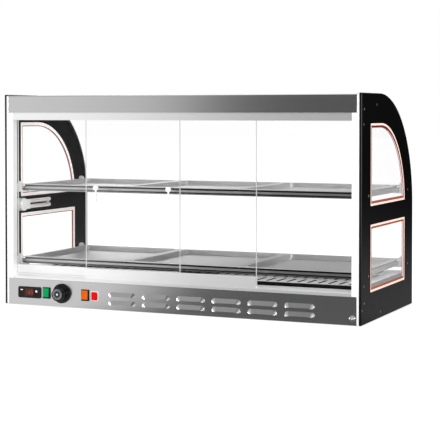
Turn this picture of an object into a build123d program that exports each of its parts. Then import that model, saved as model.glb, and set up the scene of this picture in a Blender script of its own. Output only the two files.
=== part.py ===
from build123d import *
import math
import os

# Heated countertop display case with a curved customer side and two sliding doors.
# X runs along the case, +Y from the operator's side to the customer's side, +Z up.
# "d" is the distance from the operator's face of the case, "z" the height over the counter.

# Case body
LENGTH = 1098.0
DEPTH = 480.0
HEIGHT = 615.0
KNOB_REACH = 28.0
NEAR = (KNOB_REACH - DEPTH) / 2
PANEL = 7.0
INSIDE = LENGTH / 2 - PANEL
FIT = 0.5
END = INSIDE - FIT
SHEET = 1.2
FOOT = 1.5
BASE_TOP = 77.0
SIDE_LEDGE = 16.0
FAR_LEDGE = 24.0
CURVE_D = 165.0
CURVE_Z = 300.0
CURVE_R = DEPTH - CURVE_D

# Operator's side frame
BEAM_LOW = 562.5
BEAM_TOP = 612.0
BEAM_HALF = 535.5
OPENING_HALF = 521.0
POST_DEPTH = 36.0
RETURN_DEPTH = 23.0
COVER_DEPTH = 172.0
BEND = 2.8

# Side windows, outer edge of the white seal
WINDOW_NEAR = 78.0
WINDOW_FAR = 399.0
UPPER_LOW = 312.5
UPPER_HIGH = 533.6
LOWER_LOW = 81.0
LOWER_HIGH = 262.3
WINDOW_CURVE_D = 175.0
WINDOW_CURVE_R = WINDOW_FAR - WINDOW_CURVE_D
SEAL_OUT = 5.5
SEAL_IN = 9.5
SEAL_HALF = 3.0
BEAD_OUT = 5.6
BEAD_IN = 2.4
PANE = 3.0

# Curved glass
GLASS = 5.0
GLASS_R = 309.0
GLASS_START = 150.0
GLASS_LOW = 79.5

# Sliding doors
DOOR_W = 529.5
DOOR_LOW = 100.0
DOOR_HIGH = 552.0
NEAR_LANE = 12.0
FAR_LANE = 28.0
RAIL_LOW = 80.4
RAIL_HIGH = 116.4
RAIL_T = 10.0
RIGHT_DOOR_START = -283.0
LEFT_DOOR_START = -OPENING_HALF + FIT
PULL_INSET = 34.5
PULL_Z = 347.0

# Shelves and trays
SHELF_TOPS = {"upper": 352.0, "lower": 137.0}
SHELF_HALF = 522.0
SHELF_NEAR = 50.0
SHELF_FAR = 440.0
TRAY_GAP = 1.2
TRAY_INSET = 1.0
TRAY_PITCH = 2 * (SHELF_HALF - TRAY_INSET) / 3
TRAY_DEEP = 16.0
TRAY_LIP = 2.4
SEAT_DROP = 1.25
BAR_DROP = 6.5
BAR_LOW = 17.0
FRAME_DEEP = 20.0
TAB_RISE = 8.0

# Floor plate over the heater
FLOOR_Z = 100.0
FLOOR_NEAR = 50.0
FLOOR_FAR = 462.0
FLOOR_REST = 88.0
SHIELD_D = 84.0
SLOT_PITCH = 30.0
SLOT_L = 70.0
SLOT_W = 9.0

# Controls on the fascia
KNOB_X = -357.0
KNOB_Z = 40.0
SWITCHES = {"green": -407.5, "orange": -279.5}
SWITCH_Z = 39.0
SWITCH_TILT = 8.0
PIVOT_IN = 3.0
DISPLAY_X = -464.5
DISPLAY_Z = 38.0
PILOT_X = -248.5
PILOT_Z = 38.0
EARTH_X = 524.0
EARTH_Z = 19.0
LOUVRE_L = 86.0
LOUVRE_UP = 7.5
LOUVRE_DOWN = 6.5
LOUVRE_OUT = 4.8
LOUVRE_WALL = 0.9
LOUVRE_X = [-161.0 + 107.4 * column for column in range(6)]
LOUVRE_Z = (45.0, 22.0)

# Lamp on the left panel
LAMP_D = 65.0
LAMP_Z = 289.5
LAMP_END = 224.0

# Screws through each side panel, as (d, z)
SCREWS = [
    (131, 584), (22, 572), (19, 532), (23, 103), (25, 58), (7, 41),
    (170, 18), (62, 126), (61, 341), (430, 340), (430, 126),
]


def block(x0, x1, d0, d1, z0, z1):
    """Box between two corners, given in X, d and z."""
    centre = Pos((x0 + x1) / 2, NEAR + (d0 + d1) / 2, (z0 + z1) / 2)
    return centre * Box(x1 - x0, d1 - d0, z1 - z0)


def across(x):
    """Plane square to X whose own axes are d and z."""
    return Plane(origin=(x, NEAR, 0), x_dir=(0, 1, 0), z_dir=(1, 0, 0))


def facing(x, z, d=0):
    """Plane parallel to the fascia, its normal towards the operator."""
    return Plane(origin=(x, NEAR + d, z), x_dir=(1, 0, 0), z_dir=(0, -1, 0))


def prism(face, x0, x1):
    """Solid of a (d, z) face between two X positions."""
    return extrude(across(x0) * face, amount=x1 - x0, dir=(1, 0, 0))


def mirrored(x0, x1, side):
    """The X span x0..x1 on the side +1, or its mirror image on the side -1."""
    return (x0, x1) if side > 0 else (-x1, -x0)


def case_outline():
    """Side view of the case: flat top, quarter circle, upright customer side."""
    edges = [
        Line((0, FOOT), (DEPTH, FOOT)),
        Line((DEPTH, FOOT), (DEPTH, CURVE_Z)),
        CenterArc((CURVE_D, CURVE_Z), CURVE_R, 0, 90),
        Line((CURVE_D, HEIGHT), (0, HEIGHT)),
        Line((0, HEIGHT), (0, FOOT)),
    ]
    return make_face(edges)


def upper_window(inset):
    """Upper window, drawn in by inset; its far top corner follows the case."""
    near = WINDOW_NEAR + inset
    low = UPPER_LOW + inset
    high = UPPER_HIGH - inset
    radius = WINDOW_CURVE_R - inset
    rise = low - (UPPER_HIGH - WINDOW_CURVE_R)
    start = math.degrees(math.asin(rise / radius))
    far = WINDOW_CURVE_D + radius * math.cos(math.radians(start))
    edges = [
        Line((near, low), (far, low)),
        CenterArc((WINDOW_CURVE_D, UPPER_HIGH - WINDOW_CURVE_R), radius, start, 90 - start),
        Line((WINDOW_CURVE_D, high), (near, high)),
        Line((near, high), (near, low)),
    ]
    return make_face(edges)


def lower_window(inset):
    """Lower window, a plain rectangle drawn in by inset."""
    width = WINDOW_FAR - WINDOW_NEAR - 2 * inset
    height = LOWER_HIGH - LOWER_LOW - 2 * inset
    centre = Pos((WINDOW_NEAR + WINDOW_FAR) / 2, (LOWER_LOW + LOWER_HIGH) / 2)
    return centre * Rectangle(width, height)


WINDOWS = {"upper": upper_window, "lower": lower_window}


def screw_drills(side, radius=2.1, reach=8.0):
    """The holes that the side screws need, as solids to cut away."""
    x0, x1 = mirrored(INSIDE - reach, LENGTH / 2 + 1, side)
    return [prism(Pos(d, z) * Circle(radius), x0, x1) for d, z in SCREWS]


def side_panel(side):
    """Side panel with two window openings and countersunk screw holes."""
    x0, x1 = mirrored(INSIDE, LENGTH / 2, side)
    panel = prism(case_outline(), x0, x1)
    outer = panel.faces().sort_by(Axis.X)[-1 if side > 0 else 0]
    panel = chamfer(outer.outer_wire().edges(), 1.5)
    for window in WINDOWS.values():
        panel -= prism(window(0), x0 - 1, x1 + 1)
    panel -= screw_drills(side)
    head = mirrored(LENGTH / 2 - 1.6, LENGTH / 2 + 1, side)
    panel -= [prism(Pos(d, z) * Circle(4.3), *head) for d, z in SCREWS]
    return panel


def side_screws():
    """Countersunk screws of both side panels, one solid each."""
    screws = []
    for side in (-1, 1):
        head = mirrored(LENGTH / 2 - 1.6, LENGTH / 2 - 0.1, side)
        shank = mirrored(INSIDE - 7.5, LENGTH / 2 - 1.6, side)
        slot = mirrored(LENGTH / 2 - 0.9, LENGTH / 2, side)
        for d, z in SCREWS:
            dome = prism(Pos(d, z) * Circle(4.1), *head)
            rim = dome.edges().group_by(Axis.X)[-1 if side > 0 else 0]
            screw = fillet(rim, 1.2) + prism(Pos(d, z) * Circle(2), *shank)
            screw -= prism(Pos(d, z) * Rectangle(6, 1.2), *slot)
            screws.append(screw - prism(Pos(d, z) * Rectangle(1.2, 6), *slot))
    return screws


def window_parts(side, window):
    """Pane, white seal and the two red beads of one side window; the seal is wider inside."""
    middle = INSIDE + PANEL / 2
    face = PANE / 2
    pane = prism(window(1), *mirrored(middle - face, middle + face, side))
    seal = prism(window(0) - window(SEAL_OUT), *mirrored(middle, middle + SEAL_HALF, side))
    seal += prism(window(0) - window(SEAL_IN), *mirrored(middle - SEAL_HALF, middle, side))
    beads = []
    for inset, wide, low, high in (
        (SEAL_OUT, BEAD_OUT, face, face + 1.2),
        (SEAL_IN, BEAD_IN, -face - 1.2, -face),
    ):
        ring = window(inset) - window(inset + wide)
        beads.append(prism(ring, *mirrored(middle + low, middle + high, side)))
    return pane, seal - pane, beads


def post(side):
    """Bright corner post: a near flange, a flange on the panel and an inner return."""
    near = SHEET + 0.1
    foot, top = FOOT + 1, BEAM_TOP - SHEET - 0.1
    low, high = BASE_TOP + 0.2, BEAM_LOW - 0.1
    flange = block(*mirrored(OPENING_HALF, END, side), near, near + SHEET, low, high)
    strip = block(*mirrored(BEAM_HALF - 4, END, side), near, near + SHEET, foot, top)
    lip = block(*mirrored(BEAM_HALF + 0.2, END, side), 0.1, near, foot, top)
    wall = block(*mirrored(END - SHEET, END, side), near, POST_DEPTH, foot, top)
    inner = block(*mirrored(OPENING_HALF, OPENING_HALF + SHEET, side), near, RETURN_DEPTH, low, high)
    return flange + strip + lip + wall + inner - screw_drills(side)


def cover_fold():
    """Side view of the beam and the top sheet, bent in one piece round the near upper edge."""
    under = BEAM_TOP - SHEET
    edges = [
        Line((0, BEAM_LOW), (0, BEAM_TOP - BEND)),
        CenterArc((BEND, BEAM_TOP - BEND), BEND, 90, 90),
        Line((BEND, BEAM_TOP), (COVER_DEPTH, BEAM_TOP)),
        Line((COVER_DEPTH, BEAM_TOP), (COVER_DEPTH, under)),
        Line((COVER_DEPTH, under), (BEND, under)),
        CenterArc((BEND, BEAM_TOP - BEND), BEND - SHEET, 90, 90),
        Line((SHEET, BEAM_TOP - BEND), (SHEET, BEAM_LOW)),
        Line((SHEET, BEAM_LOW), (0, BEAM_LOW)),
    ]
    return make_face(edges)


def top_cover():
    """Folded steel cover: beam over the doors, flat top, lower flange and two end tabs."""
    cover = prism(cover_fold(), -BEAM_HALF, BEAM_HALF)
    cover += block(-BEAM_HALF, BEAM_HALF, SHEET, 44, BEAM_LOW, BEAM_LOW + SHEET)
    for side in (-1, 1):
        strip = mirrored(BEAM_HALF, END, side)
        cover += block(*strip, BEND, COVER_DEPTH, BEAM_TOP - SHEET, BEAM_TOP)
        cover += block(*mirrored(END - SHEET, END, side), 100, 160, 570, BEAM_TOP)
        cover -= screw_drills(side)
    return cover - block(-LENGTH, LENGTH, 140, 162, 500, BEAM_TOP - SHEET)


def louvre_hood(x, z, wall, start):
    """Sloping hood of a pressed louvre, drawn in by wall, from the depth start outwards."""
    below = 2.5 * LOUVRE_DOWN
    outlines = []
    for inset, up, corner, out in (
        (0, LOUVRE_UP, 9, start),
        (10, 1.5 - LOUVRE_DOWN, 4, LOUVRE_OUT - wall),
    ):
        tall = up - wall + below
        outline = RectangleRounded(LOUVRE_L - 2 * (inset + wall), tall, corner - wall)
        outlines.append(facing(x, z, -out) * Pos(0, tall / 2 - below) * outline)
    return loft(outlines, ruled=True)


def fascia_louvres(fascia):
    """Presses two rows of louvres into the fascia, each open along its lower edge."""
    for x in LOUVRE_X:
        for z in LOUVRE_Z:
            keep = block(x - LOUVRE_L, x + LOUVRE_L, -6, 2, z - LOUVRE_DOWN, z + 12)
            fascia += louvre_hood(x, z, 0, 0) & keep
            fascia -= louvre_hood(x, z, LOUVRE_WALL, -SHEET - 0.1) & keep
    return fascia


def control_fascia():
    """Steel fascia with folded edges, louvres and the openings of the controls."""
    fascia = block(-BEAM_HALF, BEAM_HALF, 0, SHEET, FOOT, BASE_TOP)
    fascia += block(-OPENING_HALF + 1, OPENING_HALF - 1, SHEET, 38, BASE_TOP - SHEET, BASE_TOP)
    fascia += block(-OPENING_HALF + 1, OPENING_HALF - 1, SHEET, 15, FOOT, FOOT + SHEET)
    fascia = fascia_louvres(fascia)
    for x in SWITCHES.values():
        fascia -= facing(x, SWITCH_Z) * Box(22, 30.4, 8)
    fascia -= facing(DISPLAY_X, DISPLAY_Z) * Box(73, 26, 8)
    fascia -= facing(PILOT_X, PILOT_Z) * Box(20.4, 25, 8)
    fascia -= facing(KNOB_X, KNOB_Z) * Cylinder(5, 8)
    fascia -= facing(EARTH_X, EARTH_Z) * Cylinder(3.2, 8)
    return fascia


def base_pan():
    """Welded base: bottom sheet, two side walls and the customer's side wall, each with a ledge."""
    far = CURVE_D + GLASS_R
    lane = POST_DEPTH + 1
    wall = END - SHEET
    bottom = block(-wall, wall, lane, far - SHEET, FOOT, FOOT + SHEET)
    bottom += block(-OPENING_HALF + 1, OPENING_HALF - 1, 16, lane, FOOT, FOOT + SHEET)
    back = block(-END, END, far - SHEET, far, FOOT, BASE_TOP)
    back += block(-END, END, far - FAR_LEDGE, far, BASE_TOP - SHEET, BASE_TOP)
    back -= Pos(INSIDE - 92, NEAR + far, 36) * Rot(90, 0, 0) * Cylinder(9, 20)
    sheets = [bottom, back]
    for side in (-1, 1):
        sheet = block(*mirrored(wall, END, side), lane, far - SHEET, FOOT, BASE_TOP - SHEET)
        ledge = mirrored(END - SIDE_LEDGE, END, side)
        sheet += block(*ledge, lane, far - FAR_LEDGE, BASE_TOP - SHEET, BASE_TOP)
        sheets.append(sheet)
    return [sheet - screw_drills(-1) - screw_drills(1) for sheet in sheets]


def heat_shield():
    """Upright sheet between the controls and the heater, with a ledge for the floor plate."""
    far = SHIELD_D + SHEET
    shield = block(-OPENING_HALF, OPENING_HALF, SHIELD_D, far, FOOT + SHEET, BASE_TOP)
    shield += block(-OPENING_HALF, OPENING_HALF, far, far + 8, BASE_TOP - SHEET, BASE_TOP)
    foot = block(-OPENING_HALF, OPENING_HALF, SHIELD_D - 12, SHIELD_D, FOOT + SHEET, FOOT + 2 * SHEET)
    return shield + foot


def floor_plate():
    """Perforated floor plate: staggered rows of slots; its near edge stands free of its rest."""
    half = END - 4
    low = BASE_TOP
    plate = block(-half, half, FLOOR_NEAR, FLOOR_FAR, FLOOR_Z - SHEET, FLOOR_Z)
    plate += block(-half, half, FLOOR_REST, FLOOR_REST + SHEET, low, FLOOR_Z)
    plate += block(-half, half, FLOOR_FAR - SHEET, FLOOR_FAR, low, FLOOR_Z)
    for side in (-1, 1):
        plate += block(*mirrored(half - SHEET, half, side), FLOOR_NEAR, FLOOR_FAR, low, FLOOR_Z)
    rows = (100.0, 193.0, 286.0, 379.0)
    count = 34
    slots = []
    for row, d in enumerate(rows):
        for column in range(count - row % 2):
            x = (column - (count - 1) / 2 + 0.5 * (row % 2)) * SLOT_PITCH
            slots.append(Pos(x, NEAR + d) * Rot(0, 0, 90) * SlotOverall(SLOT_L, SLOT_W))
    return plate - extrude(Plane.XY.offset(FLOOR_Z - 3) * Sketch(children=slots), amount=6)


def heating_element():
    """Tubular heater of four long passes, laid flat in the base."""
    passes = (110.0, 190.0, 270.0, 350.0)
    half = 465.0
    points = [(-half - 25, NEAR + passes[0], 45)]
    for index, d in enumerate(passes[:-1]):
        x = half if index % 2 == 0 else -half
        points += [(x, NEAR + d, 45), (x, NEAR + passes[index + 1], 45)]
    points.append((-half - 25, NEAR + passes[-1], 45))
    path = FilletPolyline(*points, radius=32)
    start = Plane(origin=points[0], z_dir=(1, 0, 0))
    return sweep(start * Circle(4.25), path=path)


def heater_brackets():
    """Three sheet stands on the pan, each holding the heater's four passes."""
    stands = []
    for x in (-300.0, 0.0, 300.0):
        stand = block(x - 1, x + 1, 90, 370, FOOT + SHEET, 54)
        stand += block(x + 1, x + 14, 90, 370, FOOT + SHEET, FOOT + 2 * SHEET)
        for d in (110.0, 190.0, 270.0, 350.0):
            stand -= prism(Pos(d, 45) * Circle(4.4), x - 2, x + 2)
        stands.append(stand)
    return stands


def terminal_block():
    """Six-way mains terminal block on the pan, behind the fascia."""
    body = block(330, 402, 24, 46, FOOT + SHEET, 20)
    body = chamfer(body.edges().group_by(Axis.Z)[-1], 1.5)
    for way in range(6):
        x = 336 + 12 * way
        body -= block(x - 2.5, x + 2.5, 20, 50, 8, 13)
        body -= Pos(x, NEAR + 35, 18) * Cylinder(2.2, 8)
    return body


def cable_grommet():
    """Rubber grommet of the mains cable entry, low in the customer's side wall."""
    wall = CURVE_D + GLASS_R
    ring = Cylinder(12, 3.5) + Pos(0, 0, -3.5) * Cylinder(8.9, 4.5)
    ring += Pos(0, 0, -4.45) * Cylinder(12, 3)
    ring = fillet(ring.edges().group_by(Axis.Z)[-1], 1.2) - Cylinder(4.5, 40)
    outward = Plane(origin=(INSIDE - 92, NEAR + wall + 1.75, 36), x_dir=(-1, 0, 0), z_dir=(0, 1, 0))
    return outward * ring


def track_top():
    """Upper door track with two lanes open below."""
    track = block(-OPENING_HALF + 0.3, OPENING_HALF - 0.3, 3, 37, 541, BEAM_LOW)
    for lane in (NEAR_LANE, FAR_LANE):
        track -= block(-LENGTH, LENGTH, lane - 3.5, lane + 3.5, 540, 558)
    return track


def track_sill():
    """Lower door track: low near lip, middle ridge and a higher far wall."""
    half = OPENING_HALF - 0.3
    track = block(-half, half, 3, 37, BASE_TOP, 80)
    for d0, d1, top in ((3, 5, 84), (19, 21, 91), (35, 37, 91)):
        track += block(-half, half, d0, d1, 80, top)
    return track


def curved_glass():
    """One bent pane: short flat lead-in, quarter circle, then straight down to the base."""
    outer = CURVE_D + GLASS_R
    top = CURVE_Z + GLASS_R
    edges = [
        Line((GLASS_START, top), (CURVE_D, top)),
        CenterArc((CURVE_D, CURVE_Z), GLASS_R, 0, 90),
        Line((outer, CURVE_Z), (outer, GLASS_LOW)),
        Line((outer, GLASS_LOW), (outer - GLASS, GLASS_LOW)),
        Line((outer - GLASS, GLASS_LOW), (outer - GLASS, CURVE_Z)),
        CenterArc((CURVE_D, CURVE_Z), GLASS_R - GLASS, 0, 90),
        Line((CURVE_D, top - GLASS), (GLASS_START, top - GLASS)),
        Line((GLASS_START, top - GLASS), (GLASS_START, top)),
    ]
    return prism(make_face(edges), -END, END)


def glass_rail_top():
    """Rail under the cover that grips the glass's upper edge."""
    rail = block(-END + 2, END - 2, 144, 162, 600.8, BEAM_TOP - SHEET)
    top = CURVE_Z + GLASS_R
    return rail - block(-LENGTH, LENGTH, GLASS_START, 165, top - GLASS - 0.2, top + 0.2)


def glass_rail_bottom():
    """Upright channel on the base that carries the glass's lower edge."""
    outer = CURVE_D + GLASS_R
    rail = block(-END, END, outer - 8, outer + 3, BASE_TOP, 92)
    return rail - block(-LENGTH, LENGTH, outer - GLASS - 0.2, outer + 0.2, GLASS_LOW, 100)


def shelf_ring(inset, width):
    """Rectangular ring in plan, drawn in by inset from the shelf's outline."""
    long = 2 * (SHELF_HALF - inset)
    deep = SHELF_FAR - SHELF_NEAR - 2 * inset
    centre = Pos(0, NEAR + (SHELF_NEAR + SHELF_FAR) / 2)
    return centre * (Rectangle(long, deep) - Rectangle(long - 2 * width, deep - 2 * width))


def slab(face, z0, z1):
    """Plan face made solid between two heights."""
    return extrude(Pos(0, 0, z0) * face, amount=z1 - z0, dir=(0, 0, 1))


def shelf_frame(top):
    """Welded frame: flat bar, recessed lower lip, thin upstand that the trays sit on."""
    seat = top - SEAT_DROP
    bar = (top - BAR_LOW, top - BAR_DROP)
    frame = slab(shelf_ring(0, 12), *bar)
    frame += slab(shelf_ring(3, 9), top - FRAME_DEEP, top - BAR_LOW)
    frame += slab(shelf_ring(7, 3), top - BAR_DROP, seat)
    for side in (-1, 1):
        x = side * TRAY_PITCH / 2
        frame += block(x - 10, x + 10, SHELF_NEAR + 8, SHELF_FAR - 8, *bar)
        for edge in (-1, 1):
            x0, x1 = sorted((x + edge * 6.6, x + edge * 9.6))
            frame += block(x0, x1, SHELF_NEAR + 8, SHELF_FAR - 8, top - BAR_DROP, seat)
        frame -= block(x - 4, x + 4, SHELF_NEAR, SHELF_FAR, top - BAR_DROP + 1, top)
    return frame


def tray(column, top):
    """Shallow pressed tray with a turned-down rim."""
    x = column * TRAY_PITCH
    wide = TRAY_PITCH - TRAY_GAP
    deep = SHELF_FAR - SHELF_NEAR - 2 * TRAY_INSET
    centre = Pos(x, NEAR + (SHELF_NEAR + SHELF_FAR) / 2)
    well = centre * RectangleRounded(wide - 24, deep - 24, 14)
    floor = centre * RectangleRounded(wide - 26, deep - 26, 13)
    outline = centre * RectangleRounded(wide, deep, 3)
    lip = outline - centre * RectangleRounded(wide - 2.4, deep - 2.4, 1.8)
    body = slab(well, top - TRAY_DEEP, top)
    body = fillet(body.edges().group_by(Axis.Z)[0], 4)
    body += slab(outline, top - SHEET, top) + slab(lip, top - TRAY_LIP, top)
    hollow = slab(floor, top - TRAY_DEEP + 1, top + 1)
    return body - fillet(hollow.edges().group_by(Axis.Z)[0], 3)


def shelf_brackets(side):
    """Brackets of both shelves on one panel, each a wall flange, a ledge and a round-topped tab."""
    spots = ((46, SHELF_HALF - 2, SHELF_HALF + 12, 4), (424, SHELF_HALF + 1, INSIDE, 8))
    brackets = []
    for top in SHELF_TOPS.values():
        low = top - FRAME_DEEP - 4
        for d, x0, x1, corner in spots:
            tab = block(*mirrored(x0, x1, side), d, d + 2.5, low, top + TAB_RISE)
            tab = fillet(tab.edges().filter_by(Axis.Y).group_by(Axis.Z)[-1], corner)
            wall = block(*mirrored(INSIDE - 3, INSIDE, side), d, d + 22, low, top)
            ledge = mirrored(SHELF_HALF - 14, INSIDE, side)
            bracket = tab + wall + block(*ledge, d, d + 22, low, top - FRAME_DEEP)
            brackets.append(bracket - screw_drills(side))
    return brackets


def lamp():
    """Twin-tube lamp on the left panel: round holder near, two joined tubes."""
    neck = LAMP_D + 31
    holder = prism(Pos(LAMP_D, LAMP_Z) * Circle(19), -INSIDE, -INSIDE + 22)
    holder = fillet(holder.faces().sort_by(Axis.X)[-1].edges(), 2.5)
    holder += block(-INSIDE + 3, -INSIDE + 21, LAMP_D + 7, neck, LAMP_Z - 14, LAMP_Z + 14)
    for dz in (-11, 11):
        holder -= prism(Pos(LAMP_D - 4, LAMP_Z + dz) * Circle(1.8), -INSIDE + 17, -INSIDE + 25)
    tubes = []
    long = LAMP_END - neck
    for dz in (-8, 8):
        run = Plane(origin=(-INSIDE + 12, NEAR + neck, LAMP_Z + dz), z_dir=(0, 1, 0))
        tube = run * Pos(0, 0, long / 2) * Cylinder(6, long)
        tubes.append(fillet(tube.faces().sort_by(Axis.Y)[-1].edges(), 5))
    bridge = block(-INSIDE + 9, -INSIDE + 15, LAMP_END - 16, LAMP_END - 9, LAMP_Z - 8, LAMP_Z + 8)
    return holder, tubes[0] + tubes[1] + bridge


def door(start, lane):
    """Sliding door: glass pane, lower rail and finger pull; returns the three solids."""
    pane = block(start, start + DOOR_W, lane - GLASS / 2, lane + GLASS / 2, DOOR_LOW, DOOR_HIGH)
    rail = block(start, start + DOOR_W, lane - RAIL_T / 2, lane + RAIL_T / 2, RAIL_LOW, RAIL_HIGH)
    long = rail.edges().filter_by(Axis.X).group_by(Axis.Z)[-1]
    return pane, fillet(long, 1.2) - pane


def door_pull(x, lane):
    """Slim finger pull: round head over a narrow upright blade, stuck to the pane."""
    face = facing(x, PULL_Z, lane - GLASS / 2)
    head = face * Pos(0, 0, 3.4) * Cylinder(7.6, 6.8)
    head = fillet(head.edges().group_by(Axis.Y)[0], 2)
    blade = face * Pos(0, -22, 2) * Box(3.6, 36, 4)
    return head + blade


def switch_housing(x):
    """Rocker switch housing: raised bezel, box behind the fascia and two pivot bores."""
    face = facing(x, SWITCH_Z)
    housing = face * Pos(0, 0, 1.5) * Box(25, 32.6, 3)
    housing = chamfer(housing.edges().group_by(Axis.Y)[0], 0.8)
    housing += face * Pos(0, 0, -12) * Box(21.6, 30, 24)
    housing -= face * Pos(0, 0, -3) * Box(19.3, 28.6, 14)
    pivot = Plane(origin=(x, NEAR + PIVOT_IN, SWITCH_Z), z_dir=(1, 0, 0))
    return housing - pivot * Cylinder(1.55, 30)


def rocker(x):
    """Rocker key with a shallow hollow across its front, set with its upper half pressed in."""
    tall = 12.9
    outline = Polyline(
        (-7.5, tall), (-6.2, 0), (-7.5, -tall), (PIVOT_IN + 1.5, -tall), (PIVOT_IN + 1.5, tall), close=True
    )
    key = prism(Pos(0, SWITCH_Z) * make_face(outline), x - 9.25, x + 9.25)
    pivot = Plane(origin=(x, NEAR + PIVOT_IN, SWITCH_Z), z_dir=(1, 0, 0))
    key += pivot * Cylinder(1.5, 21)
    axis = Axis((x, NEAR + PIVOT_IN, SWITCH_Z), (1, 0, 0))
    return key.rotate(axis, -SWITCH_TILT)


def display_parts():
    """Bezel of the temperature display, with the smoked window set into it."""
    face = facing(DISPLAY_X, DISPLAY_Z)
    bezel = face * extrude(RectangleRounded(78, 33, 5), amount=3)
    bezel = chamfer(bezel.edges().group_by(Axis.Y)[0], 1.2)
    bezel += face * Pos(0, 0, -18) * Box(71, 25, 36)
    bezel -= face * Pos(0, 0, -0.5) * extrude(RectangleRounded(66, 22, 3), amount=4)
    window = face * Pos(0, 0, -0.5) * extrude(RectangleRounded(65.6, 21.6, 2.8), amount=3)
    return bezel, window


def pilot_lamp():
    """Red lamp lens in a pale collar; returns the collar and the lens."""
    face = facing(PILOT_X, PILOT_Z)
    collar = face * extrude(RectangleRounded(23.5, 28, 3.5), amount=1.5)
    collar += face * Pos(0, 0, -9) * Box(20, 24.6, 18)
    collar -= face * extrude(RectangleRounded(18.9, 23.4, 2.5), amount=10, both=True)
    lens = face * Pos(0, 0, -8) * extrude(RectangleRounded(18.5, 23, 2.5), amount=13.5)
    return collar, fillet(lens.faces().sort_by(Axis.Y)[0].edges(), 1.6)


def knob_outline():
    """Half section of the knob: flared skirt with a rounded rim, tapered grip."""
    edges = [
        Line((0, 1.5), (28.2, 1.5)),
        Line((28.2, 1.5), (28.2, 4.3)),
        CenterArc((27.2, 4.3), 1, 0, 90),
        Line((27.2, 5.3), (26.6, 5.3)),
        CenterArc((26.6, 11), 5.7, 180, 90),
        Line((20.9, 11), (20.2, 24.5)),
        Line((20.2, 24.5), (18.2, 26.5)),
        Line((18.2, 26.5), (0, 26.5)),
        Line((0, 26.5), (0, 1.5)),
    ]
    return make_face(edges)


def knob_parts():
    """Knob with a fluted grip, the dial ring set in its front, and the thermostat behind."""
    face = facing(KNOB_X, KNOB_Z)
    knob = revolve(Plane.XZ * knob_outline(), Axis.Z)
    for step in range(24):
        knob -= Rot(0, 0, 15 * step) * Pos(21.7, 0, 17.5) * Cylinder(1.3, 11)
    knob -= Pos(0, 0, 26) * Cylinder(16.1, 2) + Pos(0, 0, 7) * Cylinder(3.05, 22)
    dial = Polyline(
        (0, 25), (16, 25), (16, 26.8), (15.5, 27.3), (9.4, 27.3), (9, 26.4), (3.4, 26.4),
        (3, 27.6), (2.2, KNOB_REACH), (0, KNOB_REACH), close=True
    )
    cap = revolve(Plane.XZ * make_face(dial), Axis.Z)
    body = Pos(0, 0, -16) * Box(40, 36, 28) + Pos(0, 0, 6) * Cylinder(3, 22)
    bulb = Plane(origin=(-380, NEAR + 96, 30), z_dir=(1, 0, 0)) * Cylinder(3.5, 90)
    return face * knob, face * cap, [face * body, bulb]


def earth_terminal():
    """Bonding stud at the fascia's lower corner, with its washer, nut and domed end."""
    face = facing(EARTH_X, EARTH_Z)
    stud = face * Pos(0, 0, 0) * Cylinder(3, 24)
    stud = fillet(stud.edges().group_by(Axis.Y)[0], 1.4)
    washer = chamfer((face * Pos(0, 0, 0.8) * Cylinder(8.6, 1.6)).edges().group_by(Axis.Y)[0], 0.5)
    nut = face * Pos(0, 0, 1.6) * extrude(RegularPolygon(6.6, 6), amount=5.4)
    return stud + washer + chamfer(nut.edges().group_by(Axis.Y)[0], 0.6)


def feet():
    """Four thin rubber pads under the pan's corners."""
    pads = []
    for x in (-480.0, 480.0):
        for d in (60.0, DEPTH - 50):
            pad = Pos(x, NEAR + d, FOOT / 2) * Cylinder(15, FOOT)
            pads.append(chamfer(pad.edges().group_by(Axis.Z)[0], 0.4))
    return pads


def case_nodes():
    """The fixed case: sheet metal, glass, shelves, heater and fittings."""
    holder, tubes = lamp()
    bezel, window = display_parts()
    collar, lens = pilot_lamp()
    nodes = {
        "base_pan": base_pan(),
        "control_fascia": control_fascia(),
        "heat_shield": heat_shield(),
        "floor_plate": floor_plate(),
        "top_cover": top_cover(),
        "top_track": track_top(),
        "sill_track": track_sill(),
        "curved_glass": curved_glass(),
        "glass_rail_top": glass_rail_top(),
        "glass_rail_bottom": glass_rail_bottom(),
        "heating_element": heating_element(),
        "heater_brackets": heater_brackets(),
        "terminal_block": terminal_block(),
        "cable_grommet": cable_grommet(),
        "lamp_holder": holder,
        "lamp_tubes": tubes,
        "display_bezel": bezel,
        "display_window": window,
        "pilot_lamp_collar": collar,
        "pilot_lamp_lens": lens,
        "earth_terminal": earth_terminal(),
        "side_screws": side_screws(),
        "feet": feet(),
    }
    for side, word in ((-1, "left"), (1, "right")):
        nodes[f"side_panel_{word}"] = side_panel(side)
        nodes[f"post_{word}"] = post(side)
        nodes[f"shelf_brackets_{word}"] = shelf_brackets(side)
        beads = []
        for level, outline in WINDOWS.items():
            pane, seal, ring = window_parts(side, outline)
            nodes[f"window_pane_{level}_{word}"] = pane
            nodes[f"window_seal_{level}_{word}"] = seal
            beads += ring
        nodes[f"window_beads_{word}"] = beads
    for level, top in SHELF_TOPS.items():
        nodes[f"shelf_frame_{level}"] = shelf_frame(top)
    return nodes


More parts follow.
